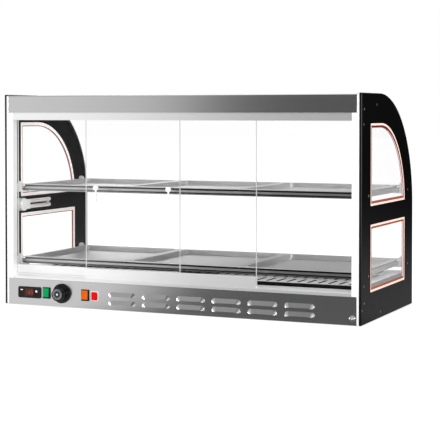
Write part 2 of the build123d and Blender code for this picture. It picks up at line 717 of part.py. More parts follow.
def moving_nodes():
    """What slides, turns, rocks or lifts out."""
    nodes = {}
    doors = (
        ("left", LEFT_DOOR_START, FAR_LANE, DOOR_W - PULL_INSET),
        ("right", RIGHT_DOOR_START, NEAR_LANE, PULL_INSET),
    )
    for word, start, lane, pull in doors:
        pane, rail = door(start, lane)
        nodes[f"door_glass_{word}"] = pane
        nodes[f"door_rail_{word}"] = rail
        nodes[f"door_pull_{word}"] = door_pull(start + pull, lane)
    for level, top in SHELF_TOPS.items():
        for column, word in enumerate(("left", "middle", "right")):
            nodes[f"tray_{level}_{word}"] = tray(column - 1, top)
    for colour, x in SWITCHES.items():
        nodes[f"{colour}_switch_housing"] = switch_housing(x)
        nodes[f"{colour}_rocker"] = rocker(x)
    nodes["knob"], nodes["knob_cap"], nodes["thermostat"] = knob_parts()
    return nodes


def write_nodes(nodes):
    """Writes each node to its own file, several solids of one node side by side."""
    os.makedirs("parts", exist_ok=True)
    for name, shape in nodes.items():
        pieces = shape if isinstance(shape, list) else [shape]
        solids = [solid for piece in pieces for solid in piece.solids()]
        export_step(Compound(children=solids), f"parts/{name}.step")
    print(len(nodes), "nodes written")


write_nodes({**case_nodes(), **moving_nodes()})
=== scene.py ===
# %% [markdown]
# # A heated display case, seen from the operator's side
#
# The object is a countertop case that keeps food warm: black side panels with two windows
# each, a bent glass towards the customer, two sliding glass doors towards the operator,
# six steel trays on two shelves, and a steel fascia with the controls.
#
# Its solids come ready made from a CAD model. This lesson gives them their finishes,
# adds the small printed and glowing parts, and sets up light, floor and camera.

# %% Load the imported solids
import math

import bmesh
import bpy
from mathutils import Matrix, Vector


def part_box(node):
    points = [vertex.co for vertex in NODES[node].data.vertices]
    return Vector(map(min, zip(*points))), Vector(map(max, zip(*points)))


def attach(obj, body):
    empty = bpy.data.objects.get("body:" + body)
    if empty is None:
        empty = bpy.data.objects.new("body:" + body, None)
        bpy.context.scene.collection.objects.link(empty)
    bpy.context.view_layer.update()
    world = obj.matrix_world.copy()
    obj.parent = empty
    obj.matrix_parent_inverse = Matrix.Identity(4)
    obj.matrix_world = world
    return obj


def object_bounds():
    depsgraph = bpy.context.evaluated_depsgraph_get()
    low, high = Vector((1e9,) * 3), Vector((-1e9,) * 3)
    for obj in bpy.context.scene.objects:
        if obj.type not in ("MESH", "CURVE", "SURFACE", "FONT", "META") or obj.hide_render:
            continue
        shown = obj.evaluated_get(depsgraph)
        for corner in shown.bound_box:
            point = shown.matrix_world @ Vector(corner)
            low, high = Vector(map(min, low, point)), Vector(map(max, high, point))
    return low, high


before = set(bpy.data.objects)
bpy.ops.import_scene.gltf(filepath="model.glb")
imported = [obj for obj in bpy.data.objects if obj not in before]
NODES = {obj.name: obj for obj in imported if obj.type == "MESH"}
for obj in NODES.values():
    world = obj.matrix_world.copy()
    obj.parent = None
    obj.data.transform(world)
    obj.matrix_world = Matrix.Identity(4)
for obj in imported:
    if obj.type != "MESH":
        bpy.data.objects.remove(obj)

CAD_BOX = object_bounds()

# %% [markdown]
# ## Measures shared by many cells
#
# Everything is in metres. X runs along the case, +Y towards the customer, +Z up.
# `NEAR` is the operator's face of the case, and most small parts are placed from it.
# It is read from a side panel's box, so it stays right if the solids change.

# %% Shared measures
MM = 0.001
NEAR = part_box("side_panel_left")[0].y
KNOB = Vector((-0.357, NEAR, 0.040))
PANEL_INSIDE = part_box("side_panel_right")[0].x
PANEL_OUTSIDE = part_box("side_panel_right")[1].x
print("operator's face at y =", round(NEAR, 4), "inner width", round(2 * PANEL_INSIDE, 4))

# %% [markdown]
# ## Small helpers for node trees
#
# A material is a tree of nodes. Writing each node and link by hand takes many lines, so
# `put` makes a node, sets its properties and fills its sockets in one go. A socket gets
# either a plain value or another node's output, which is then linked. The small functions
# after it stand for the nodes that nearly every finish needs, so that a material reads
# like a short recipe. Textures use the object coordinate: the solids lie at the origin,
# so it is the place in the case in metres, and needs no UV map.

# %% Node helpers
def put(tree, kind, sockets=None, **settings):
    """New shader node of a kind; sockets maps a name or number to a value or an output."""
    made = tree.nodes.new("ShaderNode" + kind)
    for key, value in settings.items():
        setattr(made, key, value)
    for key, value in (sockets or {}).items():
        if isinstance(value, bpy.types.NodeSocket):
            tree.links.new(value, made.inputs[key])
        else:
            made.inputs[key].default_value = value
    return made


def mix_colour(tree, factor, low, high, blend="MIX"):
    """Colour between low and high by factor."""
    made = put(tree, "Mix", {0: factor, 6: low, 7: high}, data_type="RGBA", blend_type=blend)
    return made.outputs[2]


def ramp(tree, value, low, high, to_low=0.0, to_high=1.0):
    """Value carried smoothly from the span low..high to the span to_low..to_high."""
    span = {"Value": value, "From Min": low, "From Max": high}
    span.update({"To Min": to_low, "To Max": to_high})
    return put(tree, "MapRange", span, interpolation_type="SMOOTHSTEP").outputs[0]


def sums(tree, operation, first, second=None, clamp=False):
    """One Math node's output."""
    sockets = {0: first} if second is None else {0: first, 1: second}
    return put(tree, "Math", sockets, operation=operation, use_clamp=clamp).outputs[0]


def band(tree, value, low, high, soft=0.5 * MM):
    """1 between low and high, with soft borders, else 0."""
    above = ramp(tree, value, low - soft, low + soft)
    return sums(tree, "MINIMUM", above, ramp(tree, value, high + soft, high - soft))


def grey(tree, level):
    """Grey colour of a value."""
    return put(tree, "CombineColor", {0: level, 1: level, 2: level}).outputs[0]


def place_in_case(tree):
    """The object coordinate."""
    return put(tree, "TexCoord").outputs["Object"]


def facing(tree):
    """The direction that the surface faces."""
    return put(tree, "NewGeometry").outputs["Normal"]


def dot(tree, first, second):
    """How far two directions agree, from -1 to 1."""
    sockets = {0: first, 1: second}
    return put(tree, "VectorMath", sockets, operation="DOT_PRODUCT").outputs["Value"]


def parts_of(tree, vector):
    """X, Y and Z of a vector."""
    return put(tree, "SeparateXYZ", {0: vector}).outputs


def noise(tree, spot, scale, detail, rough=0.5):
    """Noise texture's value at a spot."""
    sockets = {"Vector": spot, "Scale": scale, "Detail": detail, "Roughness": rough}
    return put(tree, "TexNoise", sockets).outputs[0]


print("node helpers ready")

# %% [markdown]
# ## Shader node groups
#
# An effect that several finishes share is worth a group of its own: it is built once, and
# each material places it with its own numbers. The groups here put out colours, masks,
# roughness and height only. The shader itself stays in each material.

# %% Group helper
def new_group(name, inputs, outputs):
    """Empty shader group; inputs are (name, kind, value), outputs are (name, kind)."""
    tree = bpy.data.node_groups.new(name, "ShaderNodeTree")
    for label, kind, value in inputs:
        socket = tree.interface.new_socket(label, in_out="INPUT", socket_type="NodeSocket" + kind)
        socket.default_value = value
    for label, kind in outputs:
        tree.interface.new_socket(label, in_out="OUTPUT", socket_type="NodeSocket" + kind)
    start = tree.nodes.new("NodeGroupInput")
    end = tree.nodes.new("NodeGroupOutput")
    return tree, start.outputs, end.inputs


def place(tree, group, sockets):
    """Places a group in a material and returns its outputs."""
    return put(tree, "Group", sockets, node_tree=group).outputs


print("group helpers ready")

# %% [markdown]
# ### Brushed grain
#
# Brushed sheet has long fine scratches in one direction. A noise texture whose
# coordinates are squeezed across the brushing and stretched along it gives such streaks.
# Two sizes are used: hair-fine scratches for the height, and both these and broad soft
# bands, as from rolling, for tone and roughness. A picture of brushed steel would repeat
# and need a UV map, but the noise runs on over every fold of the sheet.

# %% Group: brushed grain
def build_grain():
    tree, given, made = new_group(
        "Brushed grain",
        [
            ("Stretch", "Vector", (6.0, 900.0, 900.0)),
            ("Tone Spread", "Float", 0.06),
            ("Roughness", "Float", 0.3),
            ("Roughness Spread", "Float", 0.08),
        ],
        [("Tone", "Float"), ("Roughness", "Float"), ("Height", "Float")],
    )
    to_stretch = {"Vector": place_in_case(tree), "Scale": given["Stretch"]}
    stretched = put(tree, "Mapping", to_stretch).outputs[0]
    fine = noise(tree, stretched, 1.0, 4.0, rough=0.6)
    broad = noise(tree, stretched, 1.0 / BAND_WIDTH, 2.0)
    fine_part = sums(tree, "MULTIPLY", fine, FINE_SHARE)
    both = sums(tree, "ADD", fine_part, sums(tree, "MULTIPLY", broad, 1.0 - FINE_SHARE))
    swing = sums(tree, "MULTIPLY", sums(tree, "SUBTRACT", both, 0.5), 2.0)
    tone = sums(tree, "MULTIPLY", swing, given["Tone Spread"])
    tree.links.new(sums(tree, "ADD", tone, 1.0), made["Tone"])
    rough = sums(tree, "MULTIPLY", swing, given["Roughness Spread"])
    tree.links.new(sums(tree, "ADD", rough, given["Roughness"], clamp=True), made["Roughness"])
    tree.links.new(fine, made["Height"])
    return tree


BAND_WIDTH = 1 / 0.09    # soft bands, as many times wider than the scratches
FINE_SHARE = 0.6
GRAIN = build_grain()
print("group:", GRAIN.name)

# %% [markdown]
# ### Edge light
#
# On the real case the cut edges of sheet and the arrises of painted parts are a little
# rounded, and wear lightens them. The mask also lightens them as a painted highlight, for
# the thin line of light that a rounded edge catches. The Bevel node bends the normal near
# an edge, so comparing it with the true normal gives a mask that is white only along
# edges. It needs no extra geometry, and its width is in metres, the same on a large panel
# and on a small bracket.

# %% Group: edge light
def build_edge():
    tree, given, made = new_group(
        "Edge light",
        [("Width", "Float", 0.0006), ("Gain", "Float", 6.0)],
        [("Mask", "Float"), ("Normal", "Vector")],
    )
    soft = put(tree, "Bevel", {"Radius": given["Width"]}, samples=6).outputs[0]
    same = dot(tree, soft, facing(tree))
    turned = sums(tree, "MULTIPLY", sums(tree, "SUBTRACT", 1.0, same), given["Gain"], clamp=True)
    # Patchy strength of the edge mask, which lightens colour as wear and as a painted highlight.
    patchy = noise(tree, place_in_case(tree), 60.0, 3.0)
    worn_and_highlit = ramp(tree, patchy, 0.3, 0.7, 0.35, 1.0)
    tree.links.new(sums(tree, "MULTIPLY", turned, worn_and_highlit), made["Mask"])
    tree.links.new(soft, made["Normal"])
    return tree


EDGE = build_edge()
print("group:", EDGE.name)

# %% [markdown]
# ### Dust film
#
# Nothing in a kitchen is perfectly clean. A thin film lies mostly on surfaces that face
# up and gathers in soft clouds. The group gives a mask: upward facing times cloudy
# noise. Each material uses it to raise roughness and shift colour by a very small step.

# %% Group: dust film
def build_dust():
    tree, given, made = new_group(
        "Dust film",
        [("Amount", "Float", 0.2), ("Scale", "Float", 9.0)],
        [("Mask", "Float")],
    )
    clouds = noise(tree, place_in_case(tree), given["Scale"], 5.0)
    lying = ramp(tree, parts_of(tree, facing(tree))["Z"], 0.1, 1.0, 0.25, 1.0)
    cloudy = sums(tree, "MULTIPLY", ramp(tree, clouds, 0.35, 0.75), lying)
    tree.links.new(sums(tree, "MULTIPLY", cloudy, given["Amount"]), made["Mask"])
    return tree


DUST = build_dust()
print("group:", DUST.name)

# %% [markdown]
# ### Moulded skin
#
# Plastic, rubber and powder coat have no grain but a skin: tiny rounded bumps with a
# slightly uneven gloss. One noise at a chosen size serves all of them, from the fine
# skin of a switch to the orange peel of powder coat.

# %% Group: moulded skin
def build_skin():
    tree, given, made = new_group(
        "Moulded skin",
        [
            ("Scale", "Float", 1500.0),
            ("Roughness", "Float", 0.35),
            ("Roughness Spread", "Float", 0.08),
        ],
        [("Roughness", "Float"), ("Height", "Float"), ("Tone", "Float")],
    )
    spot = place_in_case(tree)
    fine = noise(tree, spot, given["Scale"], 2.0)
    swing = sums(tree, "SUBTRACT", noise(tree, spot, 35.0, 3.0), 0.5)
    rough = sums(tree, "MULTIPLY", swing, given["Roughness Spread"])
    tree.links.new(sums(tree, "ADD", rough, given["Roughness"], clamp=True), made["Roughness"])
    tree.links.new(fine, made["Height"])
    tree.links.new(sums(tree, "ADD", sums(tree, "MULTIPLY", swing, 0.06), 1.0), made["Tone"])
    return tree


SKIN = build_skin()
print("group:", SKIN.name)

# %% [markdown]
# ### Pane edges
#
# Clear float glass shows no colour through its thickness, but a cut edge has a tint of
# its own and is matt. The two are told apart by the direction of the surface:
# a door's edges are the faces whose normal has no part along Y, and a side window's or
# the bent glass's cut sides are told by X. The group takes the axis as a vector. For the
# bent glass Low and High change places, because there the cut sides are what faces X.
# It also gives the roughness: faint wipe marks on the faces, and matt cut edges.

# %% Group: pane edges
def build_pane_edges():
    tree, given, made = new_group(
        "Pane edges",
        [
            ("Axis", "Vector", (0.0, 1.0, 0.0)),
            ("Low", "Float", 0.3),
            ("High", "Float", 0.6),
        ],
        [("Mask", "Float"), ("Roughness", "Float")],
    )
    along = dot(tree, facing(tree), given["Axis"])
    face = ramp(tree, sums(tree, "ABSOLUTE", along), given["Low"], given["High"])
    mask = sums(tree, "SUBTRACT", 1.0, face)
    tree.links.new(mask, made["Mask"])
    to_wipe = {"Vector": place_in_case(tree), "Scale": (3.0, 3.0, 14.0)}
    wiped = put(tree, "Mapping", to_wipe).outputs[0]
    film = ramp(tree, noise(tree, wiped, 1.0, 4.0), 0.55, 0.8, 0.0, 0.004)
    tree.links.new(sums(tree, "ADD", film, sums(tree, "MULTIPLY", mask, 0.3)), made["Roughness"])
    return tree


PANE_EDGES = build_pane_edges()
print("group:", PANE_EDGES.name)

# %% [markdown]
# ## Materials
#
# `start_material` gives a material with one Principled shader wired to its output.
# Constant values are set straight on the shader's own sockets. Only what varies over the
# surface, such as colour, roughness and normal, is linked, which is what `feed` does.

# %% Material helpers
def start_material(name, **sockets):
    """New material; sockets are set on the Principled shader, underscores for spaces."""
    material = bpy.data.materials.new(name)
    material.use_nodes = True
    tree = material.node_tree
    shader = tree.nodes["Principled BSDF"]
    for key, value in sockets.items():
        shader.inputs[key.replace("_", " ")].default_value = value
    return material, tree, shader


def feed(tree, shader, **outputs):
    """Links outputs to the shader's sockets, underscores for spaces."""
    for key, output in outputs.items():
        tree.links.new(output, shader.inputs[key.replace("_", " ")])


def bump(tree, shader, height, depth, strength, under=None):
    """Bump from a height of the given depth in metres, over the normal `under` if given."""
    sockets = {"Strength": strength, "Distance": depth, "Height": height}
    if under is not None:
        sockets["Normal"] = under
    feed(tree, shader, Normal=put(tree, "Bump", sockets).outputs[0])


def toned(tree, colour, tone):
    """Colour made lighter or darker by a tone round 1."""
    return mix_colour(tree, 1.0, (*colour, 1), grey(tree, tone), blend="MULTIPLY")


def lighter_by(tree, mask, share, under, light):
    """Colour turned towards a lighter one where a mask says, by a share of it."""
    return mix_colour(tree, sums(tree, "MULTIPLY", mask, share), under, (*light, 1))


def grained_along_x(tree, shader):
    """Lays the anisotropic shader's tangent along X."""
    lay = put(tree, "CombineXYZ", {0: 1.0, 1: 0.0, 2: 0.0}).outputs[0]
    feed(tree, shader, Tangent=lay)


print("material helpers ready")

# %% [markdown]
# ### Brushed steel
#
# The beam, the fascia and the base are stainless sheet brushed along X. Light spreads
# wide across the scratches and stays narrow along them, so the sheet mirrors its
# surroundings as soft upright bands: light at the left end, dark at the right. That is
# the shader's Anisotropic value, with its tangent laid along X and turned a quarter.
# One recipe makes all six steels: grain, then edge light, which is wear with a painted
# highlight, then dust, then painted shade where a piece has it.

# %% Recipe for steel
# Colour that steel edges turn towards: wear, and a painted highlight.
RUBBED_STEEL_AND_HIGHLIGHT = (0.86, 0.86, 0.87)
DUST_ON_STEEL = (0.52, 0.51, 0.49, 1)
# Colour of the painted shade on the shelf frames and the floor plate.
PAINTED_SHADE = (0.035, 0.035, 0.035, 1)


def steel(
    name, colour, stretch, rough, spread, tone, depth, anisotropic,
    dust=0.06, metal=1.0, rubbed_and_highlit=0.5, bands=None,
):
    """Brushed or mill steel; bands is a function that gives a mask of painted shade."""
    material, tree, shader = start_material(
        name, Metallic=metal, Anisotropic=anisotropic, Anisotropic_Rotation=0.25
    )
    grain_look = {"Tone Spread": tone, "Roughness": rough, "Roughness Spread": spread}
    grain = place(tree, GRAIN, {"Stretch": stretch, **grain_look})
    rim = place(tree, EDGE, {"Width": 0.5 * MM, "Gain": 4.0})
    film = place(tree, DUST, {"Amount": dust, "Scale": 7.0})["Mask"]
    base = toned(tree, colour, grain["Tone"])
    # Edges turn lighter: wear, and a painted highlight.
    lit = lighter_by(tree, rim["Mask"], rubbed_and_highlit, base, RUBBED_STEEL_AND_HIGHLIGHT)
    dust_and_painted_light = mix_colour(tree, film, lit, DUST_ON_STEEL)
    # Painted shade where the piece's mask says.
    if bands is not None:
        dust_and_painted_light = mix_colour(tree, bands(tree), dust_and_painted_light, PAINTED_SHADE)
    film_rough = sums(tree, "MULTIPLY", film, 0.35)
    dulled = sums(tree, "ADD", grain["Roughness"], film_rough, clamp=True)
    feed(tree, shader, Base_Color=dust_and_painted_light, Roughness=dulled)
    grained_along_x(tree, shader)
    bump(tree, shader, grain["Height"], depth, 0.5, rim["Normal"])
    return material


print("steel recipe ready")

# %% [markdown]
# #### Painted shade by place
#
# The shelf frames get dark stripes of painted shade by height, in the recess that the trays'
# rims shade and along the rolled foot of the bar, where no light comes back. They weaken
# towards the left, where the room is brighter, and only the bar on the operator's side has
# them. The floor plate is painted dark all but on its upper face, as painted shade: its
# flanges, and the cut edges of its slots, see nothing but the inside of the base. Masks from
# the object coordinate draw this without cutting the sheets into more faces.

# %% Painted shade on the shelf frames and the floor plate
SHELF_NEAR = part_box("shelf_frame_lower")[0].y
SHELF_BAR = 30 * MM
RIMS_LOWER = 0.137         # tops of the trays' rims
RIMS_UPPER = 0.352
BETWEEN_SHELVES = 0.25     # any height that parts the two frames
PLATE_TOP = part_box("floor_plate")[1].z


def frame_shade_bands(tree):
    """Painted shade on a shelf frame: the recess under the trays' rims and the bar's rolled foot."""
    spot = parts_of(tree, place_in_case(tree))
    upper = sums(tree, "GREATER_THAN", spot["Z"], BETWEEN_SHELVES)
    rise = sums(tree, "MULTIPLY", upper, RIMS_UPPER - RIMS_LOWER)
    below = sums(tree, "SUBTRACT", sums(tree, "ADD", rise, RIMS_LOWER), spot["Z"])
    recess = band(tree, below, 1.0 * MM, 7.2 * MM)
    foot = band(tree, below, 13.2 * MM, 16.8 * MM)
    lip = sums(tree, "MULTIPLY", ramp(tree, below, 16.5 * MM, 17.5 * MM), 0.55)
    stripes = sums(tree, "MAXIMUM", sums(tree, "MAXIMUM", recess, foot), lip)
    weaker_left = ramp(tree, spot["X"], -0.52, 0.05, 0.62, 1.0)
    faded = sums(tree, "MULTIPLY", stripes, weaker_left)
    near_bar = sums(tree, "LESS_THAN", spot["Y"], SHELF_NEAR + SHELF_BAR)
    return sums(tree, "MULTIPLY", faded, near_bar)


def floor_shade_bands(tree):
    """Painted shade on all of the floor plate but its upper face."""
    height = parts_of(tree, place_in_case(tree))["Z"]
    up = parts_of(tree, facing(tree))["Z"]
    low = sums(tree, "LESS_THAN", height, PLATE_TOP - 1.3 * MM)
    return sums(tree, "MAXIMUM", low, sums(tree, "LESS_THAN", up, 0.5))


print("shelf bar at y =", round(SHELF_NEAR, 4), "floor plate's top at z =", round(PLATE_TOP, 4))

# %% [markdown]
# #### The six steels
#
# They differ in tone, in the direction and the spread of the grain, and in how polished
# they are. The inner sheets and the trays have a plainer mill finish and take a lower
# Anisotropic value, and trays and floor plate scatter part of the light, so their
# Metallic is under 1. The trays are brushed across the case, the others along it. After
# colour and grain come roughness, its spread, the tone's spread, the depth of the
# scratches in metres, and Anisotropic.

# %% The six steels
ALONG_X = (7.0, 1100.0, 1100.0)
ALONG_Y = (700.0, 9.0, 700.0)
STEEL_FACE = steel(
    "brushed steel face", (0.60, 0.60, 0.605), ALONG_X, 0.22, 0.03, 0.04, 2e-6, 0.85
)
STEEL_BASE = steel(
    "brushed steel base", (0.55, 0.55, 0.55), ALONG_X, 0.38, 0.08, 0.06, 3e-6, 0.6
)
STEEL_INNER = steel(
    "mill steel inside", (0.60, 0.60, 0.595), ALONG_X, 0.34, 0.04, 0.05, 2e-6, 0.4
)
STEEL_SHELF = steel(
    "shelf frame steel", (0.60, 0.60, 0.60), ALONG_X, 0.30, 0.03, 0.04, 2e-6, 0.4,
    bands=frame_shade_bands,
)
STEEL_FLOOR = steel(
    "floor plate steel", (0.86, 0.86, 0.855), ALONG_X, 0.40, 0.04, 0.05, 2e-6, 0.3,
    dust=0.02, metal=0.25, rubbed_and_highlit=0.1, bands=floor_shade_bands,
)
STEEL_TRAY = steel(
    "mill steel tray", (0.58, 0.58, 0.58), ALONG_Y, 0.46, 0.03, 0.03, 1e-6, 0.2,
    dust=0.02, metal=0.55, rubbed_and_highlit=0.0,
)
print("six steels")

# %% [markdown]
# ### Aluminium
#
# The door tracks, door rails and glass rails are extruded and satin anodised. Extrusion
# leaves very straight, very long lines, so the grain is stretched further than on steel
# and its tone hardly varies. The anodised film scatters part of the light like paint, so
# Metallic is under 1: the rails stay pale where the steel beside them turns dark.

# %% Aluminium
def aluminium(name, colour, rough, metal):
    material, tree, shader = start_material(
        name, Metallic=metal, Anisotropic=0.5, Anisotropic_Rotation=0.25
    )
    grain_look = {"Tone Spread": 0.05, "Roughness": rough, "Roughness Spread": 0.05}
    grain = place(tree, GRAIN, {"Stretch": DRAWN_ALONG_X, **grain_look})
    rim = place(tree, EDGE, {"Width": 0.4 * MM, "Gain": 4.0})
    base = toned(tree, colour, grain["Tone"])
    # Edges turn lighter: wear, and a painted highlight.
    lit = lighter_by(tree, rim["Mask"], 0.4, base, (0.93, 0.93, 0.93))
    feed(tree, shader, Base_Color=lit, Roughness=grain["Roughness"])
    grained_along_x(tree, shader)
    bump(tree, shader, grain["Height"], 2e-6, 0.4, rim["Normal"])
    return material


DRAWN_ALONG_X = (1.2, 700.0, 700.0)
TRACK_ALUMINIUM = aluminium("satin aluminium track", (0.97, 0.97, 0.975), 0.32, 0.84)
RAIL_ALUMINIUM = aluminium("satin aluminium rail", (0.98, 0.98, 0.98), 0.34, 0.62)
SILL_ALUMINIUM = aluminium("satin aluminium sill", (0.98, 0.98, 0.98), 0.34, 0.73)
print("three aluminium finishes")

# %% [markdown]
# ### Paints
#
# The side panels are black with a satin powder coat. Powder coat has a fine orange peel
# and weak, wide reflections, so the black stays deep at the top and greys a little where
# it faces the pale counter. Its inner face is a shade lighter, so the object coordinate X
# picks it out. The posts and brackets are white enamel. Both share one recipe: moulded
# skin for the peel, edge light for wear on the arrises with a painted highlight along
# them, dust on what faces up.

# %% Paints
def from_middle(tree):
    """Distance to the left or right of the case's middle."""
    return sums(tree, "ABSOLUTE", parts_of(tree, place_in_case(tree))["X"])


def paint(name, colour, worn_and_highlit, rough, peel, depth, dust, inside=None, **sockets):
    material, tree, shader = start_material(name, **sockets)
    skin = place(tree, SKIN, {"Scale": peel, "Roughness": rough, "Roughness Spread": 0.05})
    rim = place(tree, EDGE, {"Width": 0.7 * MM, "Gain": 5.0})
    film = place(tree, DUST, {"Amount": dust, "Scale": 6.0})["Mask"]
    base = toned(tree, colour, skin["Tone"])
    if inside is not None:
        outer = ramp(tree, from_middle(tree), PANEL_INSIDE, PANEL_INSIDE + 0.5 * MM)
        base = mix_colour(tree, outer, (*inside, 1), base)
    # Edges turn lighter: wear, and a painted highlight.
    rubbed_and_highlit = lighter_by(tree, rim["Mask"], 0.6, base, worn_and_highlit)
    dust_and_painted_light = mix_colour(tree, film, rubbed_and_highlit, DUST_ON_PAINT)
    feed(tree, shader, Base_Color=dust_and_painted_light, Roughness=skin["Roughness"])
    bump(tree, shader, skin["Height"], depth, 0.6, rim["Normal"])
    return material


DUST_ON_PAINT = (0.30, 0.29, 0.27, 1)
PANEL_BLACK = paint(
    "black powder coat", (0.0012, 0.0012, 0.0014), (0.16, 0.16, 0.16), 0.34, 1100.0, 3e-6, 0.002,
    inside=(0.014, 0.014, 0.015), Specular_IOR_Level=0.35,
)
POST_WHITE = paint(
    "white enamel", (0.92, 0.92, 0.915), (0.95, 0.95, 0.95), 0.30, 700.0, 3e-6, 0.005,
    Coat_Weight=0.15,
)
print("two paints")

# %% [markdown]
# ### Plastics and rubber
#
# Black thermoplastic for the knob, the thermostat's body and the switch housings, and a
# glossier one for the display's bezel; white for the lamp's holder, and a warmer white for
# the pilot lamp's collar and the terminal block; silicone for the window seals, and red
# silicone for the thin beads beside them; rubber for the feet and the cable's grommet.
# They differ in colour, gloss and the size of the skin.
#
# The seals are translucent and glow a little with the light that passes them, which a
# small constant emission stands for. Seen from outside the case they look warmer, because
# the red beads shine through. The outer beads are deep red round the upper windows and
# fade to orange round the lower ones. X tells the outside, and Z the height.

# %% Plastics
def plastic(name, colour, rough, peel, depth, edge=0.3, outside=None, faded=None, **sockets):
    """Plastic or rubber; outside is its colour outside the case, faded that lower down."""
    material, tree, shader = start_material(name, **sockets)
    skin = place(tree, SKIN, {"Scale": peel, "Roughness": rough, "Roughness Spread": 0.10})
    rim = place(tree, EDGE, {"Width": 0.4 * MM, "Gain": 4.0})
    base = toned(tree, colour, skin["Tone"])
    if outside is not None:
        outer = sums(tree, "GREATER_THAN", from_middle(tree), PANEL_MIDDLE)
        height = parts_of(tree, place_in_case(tree))["Z"]
        lower = ramp(tree, height, RED_ABOVE, ORANGE_BELOW)
        seen_outside = mix_colour(tree, lower, (*outside, 1), (*(faded or outside), 1))
        base = mix_colour(tree, outer, base, seen_outside)
    light = tuple(min(1.0, c * 1.35 + 0.03) for c in colour)
    # Edges turn lighter: wear, and a painted highlight.
    lit = lighter_by(tree, rim["Mask"], edge, base, light)
    feed(tree, shader, Base_Color=lit, Roughness=skin["Roughness"])
    bump(tree, shader, skin["Height"], depth, 0.5, rim["Normal"])
    return material


PANEL_MIDDLE = (PANEL_INSIDE + PANEL_OUTSIDE) / 2
RED_ABOVE = 0.46
ORANGE_BELOW = 0.34
BLACK_PLASTIC = plastic(
    "black thermoplastic", (0.003, 0.003, 0.0035), 0.14, 2200.0, 3e-6, Specular_IOR_Level=0.2
)
DISPLAY_BLACK = plastic(
    "gloss black bezel", (0.005, 0.005, 0.006), 0.12, 2600.0, 2e-6, Specular_IOR_Level=0.3
)
HOLDER_WHITE = plastic("white lamp holder", (0.92, 0.92, 0.91), 0.36, 1600.0, 5e-6)
COLLAR_PALE = plastic("pale collar", (0.95, 0.93, 0.92), 0.32, 1800.0, 4e-6)
SILICONE_WHITE = plastic(
    "white silicone", (0.93, 0.88, 0.86), 0.52, 900.0, 8e-6,
    outside=(0.92, 0.62, 0.52), Emission_Color=(1.0, 0.93, 0.90, 1), Emission_Strength=0.28,
)
SILICONE_RED = plastic(
    "red silicone", (0.30, 0.07, 0.05), 0.46, 900.0, 8e-6, edge=0.0,
    outside=(0.19, 0.012, 0.010), faded=(0.42, 0.085, 0.035),
)
RUBBER_BLACK = plastic("black rubber", (0.022, 0.022, 0.022), 0.62, 1200.0, 2e-5)
print("seven plastics and rubbers")

# %% [markdown]
# ### Coloured lenses
#
# The rockers and the pilot lamp are clear coloured plastic with a light behind. A little
# emission in the lens's own colour keeps them vivid, and a low specular level keeps the
# white room from paling them. Soft clouds in the emission stand for the lamp's light
# spreading unevenly in the plastic.

# %% Lenses
def lens(name, colour, glow, strength):
    material, tree, shader = start_material(name, Specular_IOR_Level=0.1, Emission_Strength=strength)
    skin = place(tree, SKIN, {"Scale": 2500.0, "Roughness": 0.22, "Roughness Spread": 0.06})
    rim = place(tree, EDGE, {"Width": 0.6 * MM, "Gain": 4.0})
    base = toned(tree, colour, skin["Tone"])
    # Edges turn lighter: wear, and a painted highlight.
    lit = lighter_by(tree, rim["Mask"], 0.35, base, glow)
    cloud = noise(tree, place_in_case(tree), 70.0, 1.0)
    dim = tuple(c * 0.6 for c in glow)
    shine = mix_colour(tree, ramp(tree, cloud, 0.3, 0.7), (*dim, 1), (*glow, 1))
    feed(tree, shader, Base_Color=lit, Emission_Color=shine, Roughness=skin["Roughness"])
    bump(tree, shader, skin["Height"], 4e-6, 0.4, rim["Normal"])
    return material


GREEN_LENS = lens("green lens", (0.004, 0.29, 0.09), (0.006, 0.40, 0.11), 0.12)
ORANGE_LENS = lens("orange lens", (0.68, 0.11, 0.003), (0.80, 0.16, 0.008), 0.12)
RED_LENS = lens("red lens", (0.66, 0.001, 0.001), (0.80, 0.002, 0.002), 0.12)
print("three lenses")

# %% [markdown]
# ### Bright metal, screws and the heater
#
# The dial ring in the knob's front is dark spun metal: its grain runs in rings, so the
# distance from the knob's axis drives it and not the straight grain. The same distance
# finds the black groove round the middle and the bright spot in it. Screws are zinc
# plated and the bonding stud is nickel. The heater's tube is dull from heat, with a faint
# straw and blue tint that a slow noise lays along it.

# %% Small metals
def dial_plate():
    material, tree, shader = start_material("dark spun dial ring")
    spot = place_in_case(tree)
    from_axis = {0: spot, 1: tuple(KNOB)}
    centred = put(tree, "VectorMath", from_axis, operation="SUBTRACT").outputs[0]
    flatten = {0: centred, 1: (1.0, 0.0, 1.0)}
    flat = put(tree, "VectorMath", flatten, operation="MULTIPLY").outputs[0]
    away = put(tree, "VectorMath", {0: flat}, operation="LENGTH").outputs["Value"]
    bright_spot = sums(tree, "LESS_THAN", away, 3.1 * MM)
    groove = band(tree, away, 3.2 * MM, 9.2 * MM, 0.1 * MM)
    lathe = sums(tree, "ABSOLUTE", sums(tree, "SINE", sums(tree, "MULTIPLY", away, LATHE_RINGS)))
    dark = mix_colour(tree, lathe, (0.09, 0.09, 0.095, 1), (0.15, 0.15, 0.155, 1))
    lit = mix_colour(tree, bright_spot, dark, (0.85, 0.85, 0.86, 1))
    colour = mix_colour(tree, groove, lit, (0.006, 0.006, 0.007, 1))
    metal = sums(tree, "MULTIPLY", sums(tree, "SUBTRACT", 1.0, groove), 0.7)
    rough = ramp(tree, lathe, 0, 1, 0.22, 0.34)
    feed(tree, shader, Base_Color=colour, Metallic=metal, Roughness=rough)
    bump(tree, shader, lathe, 4e-6, 0.4)
    return material


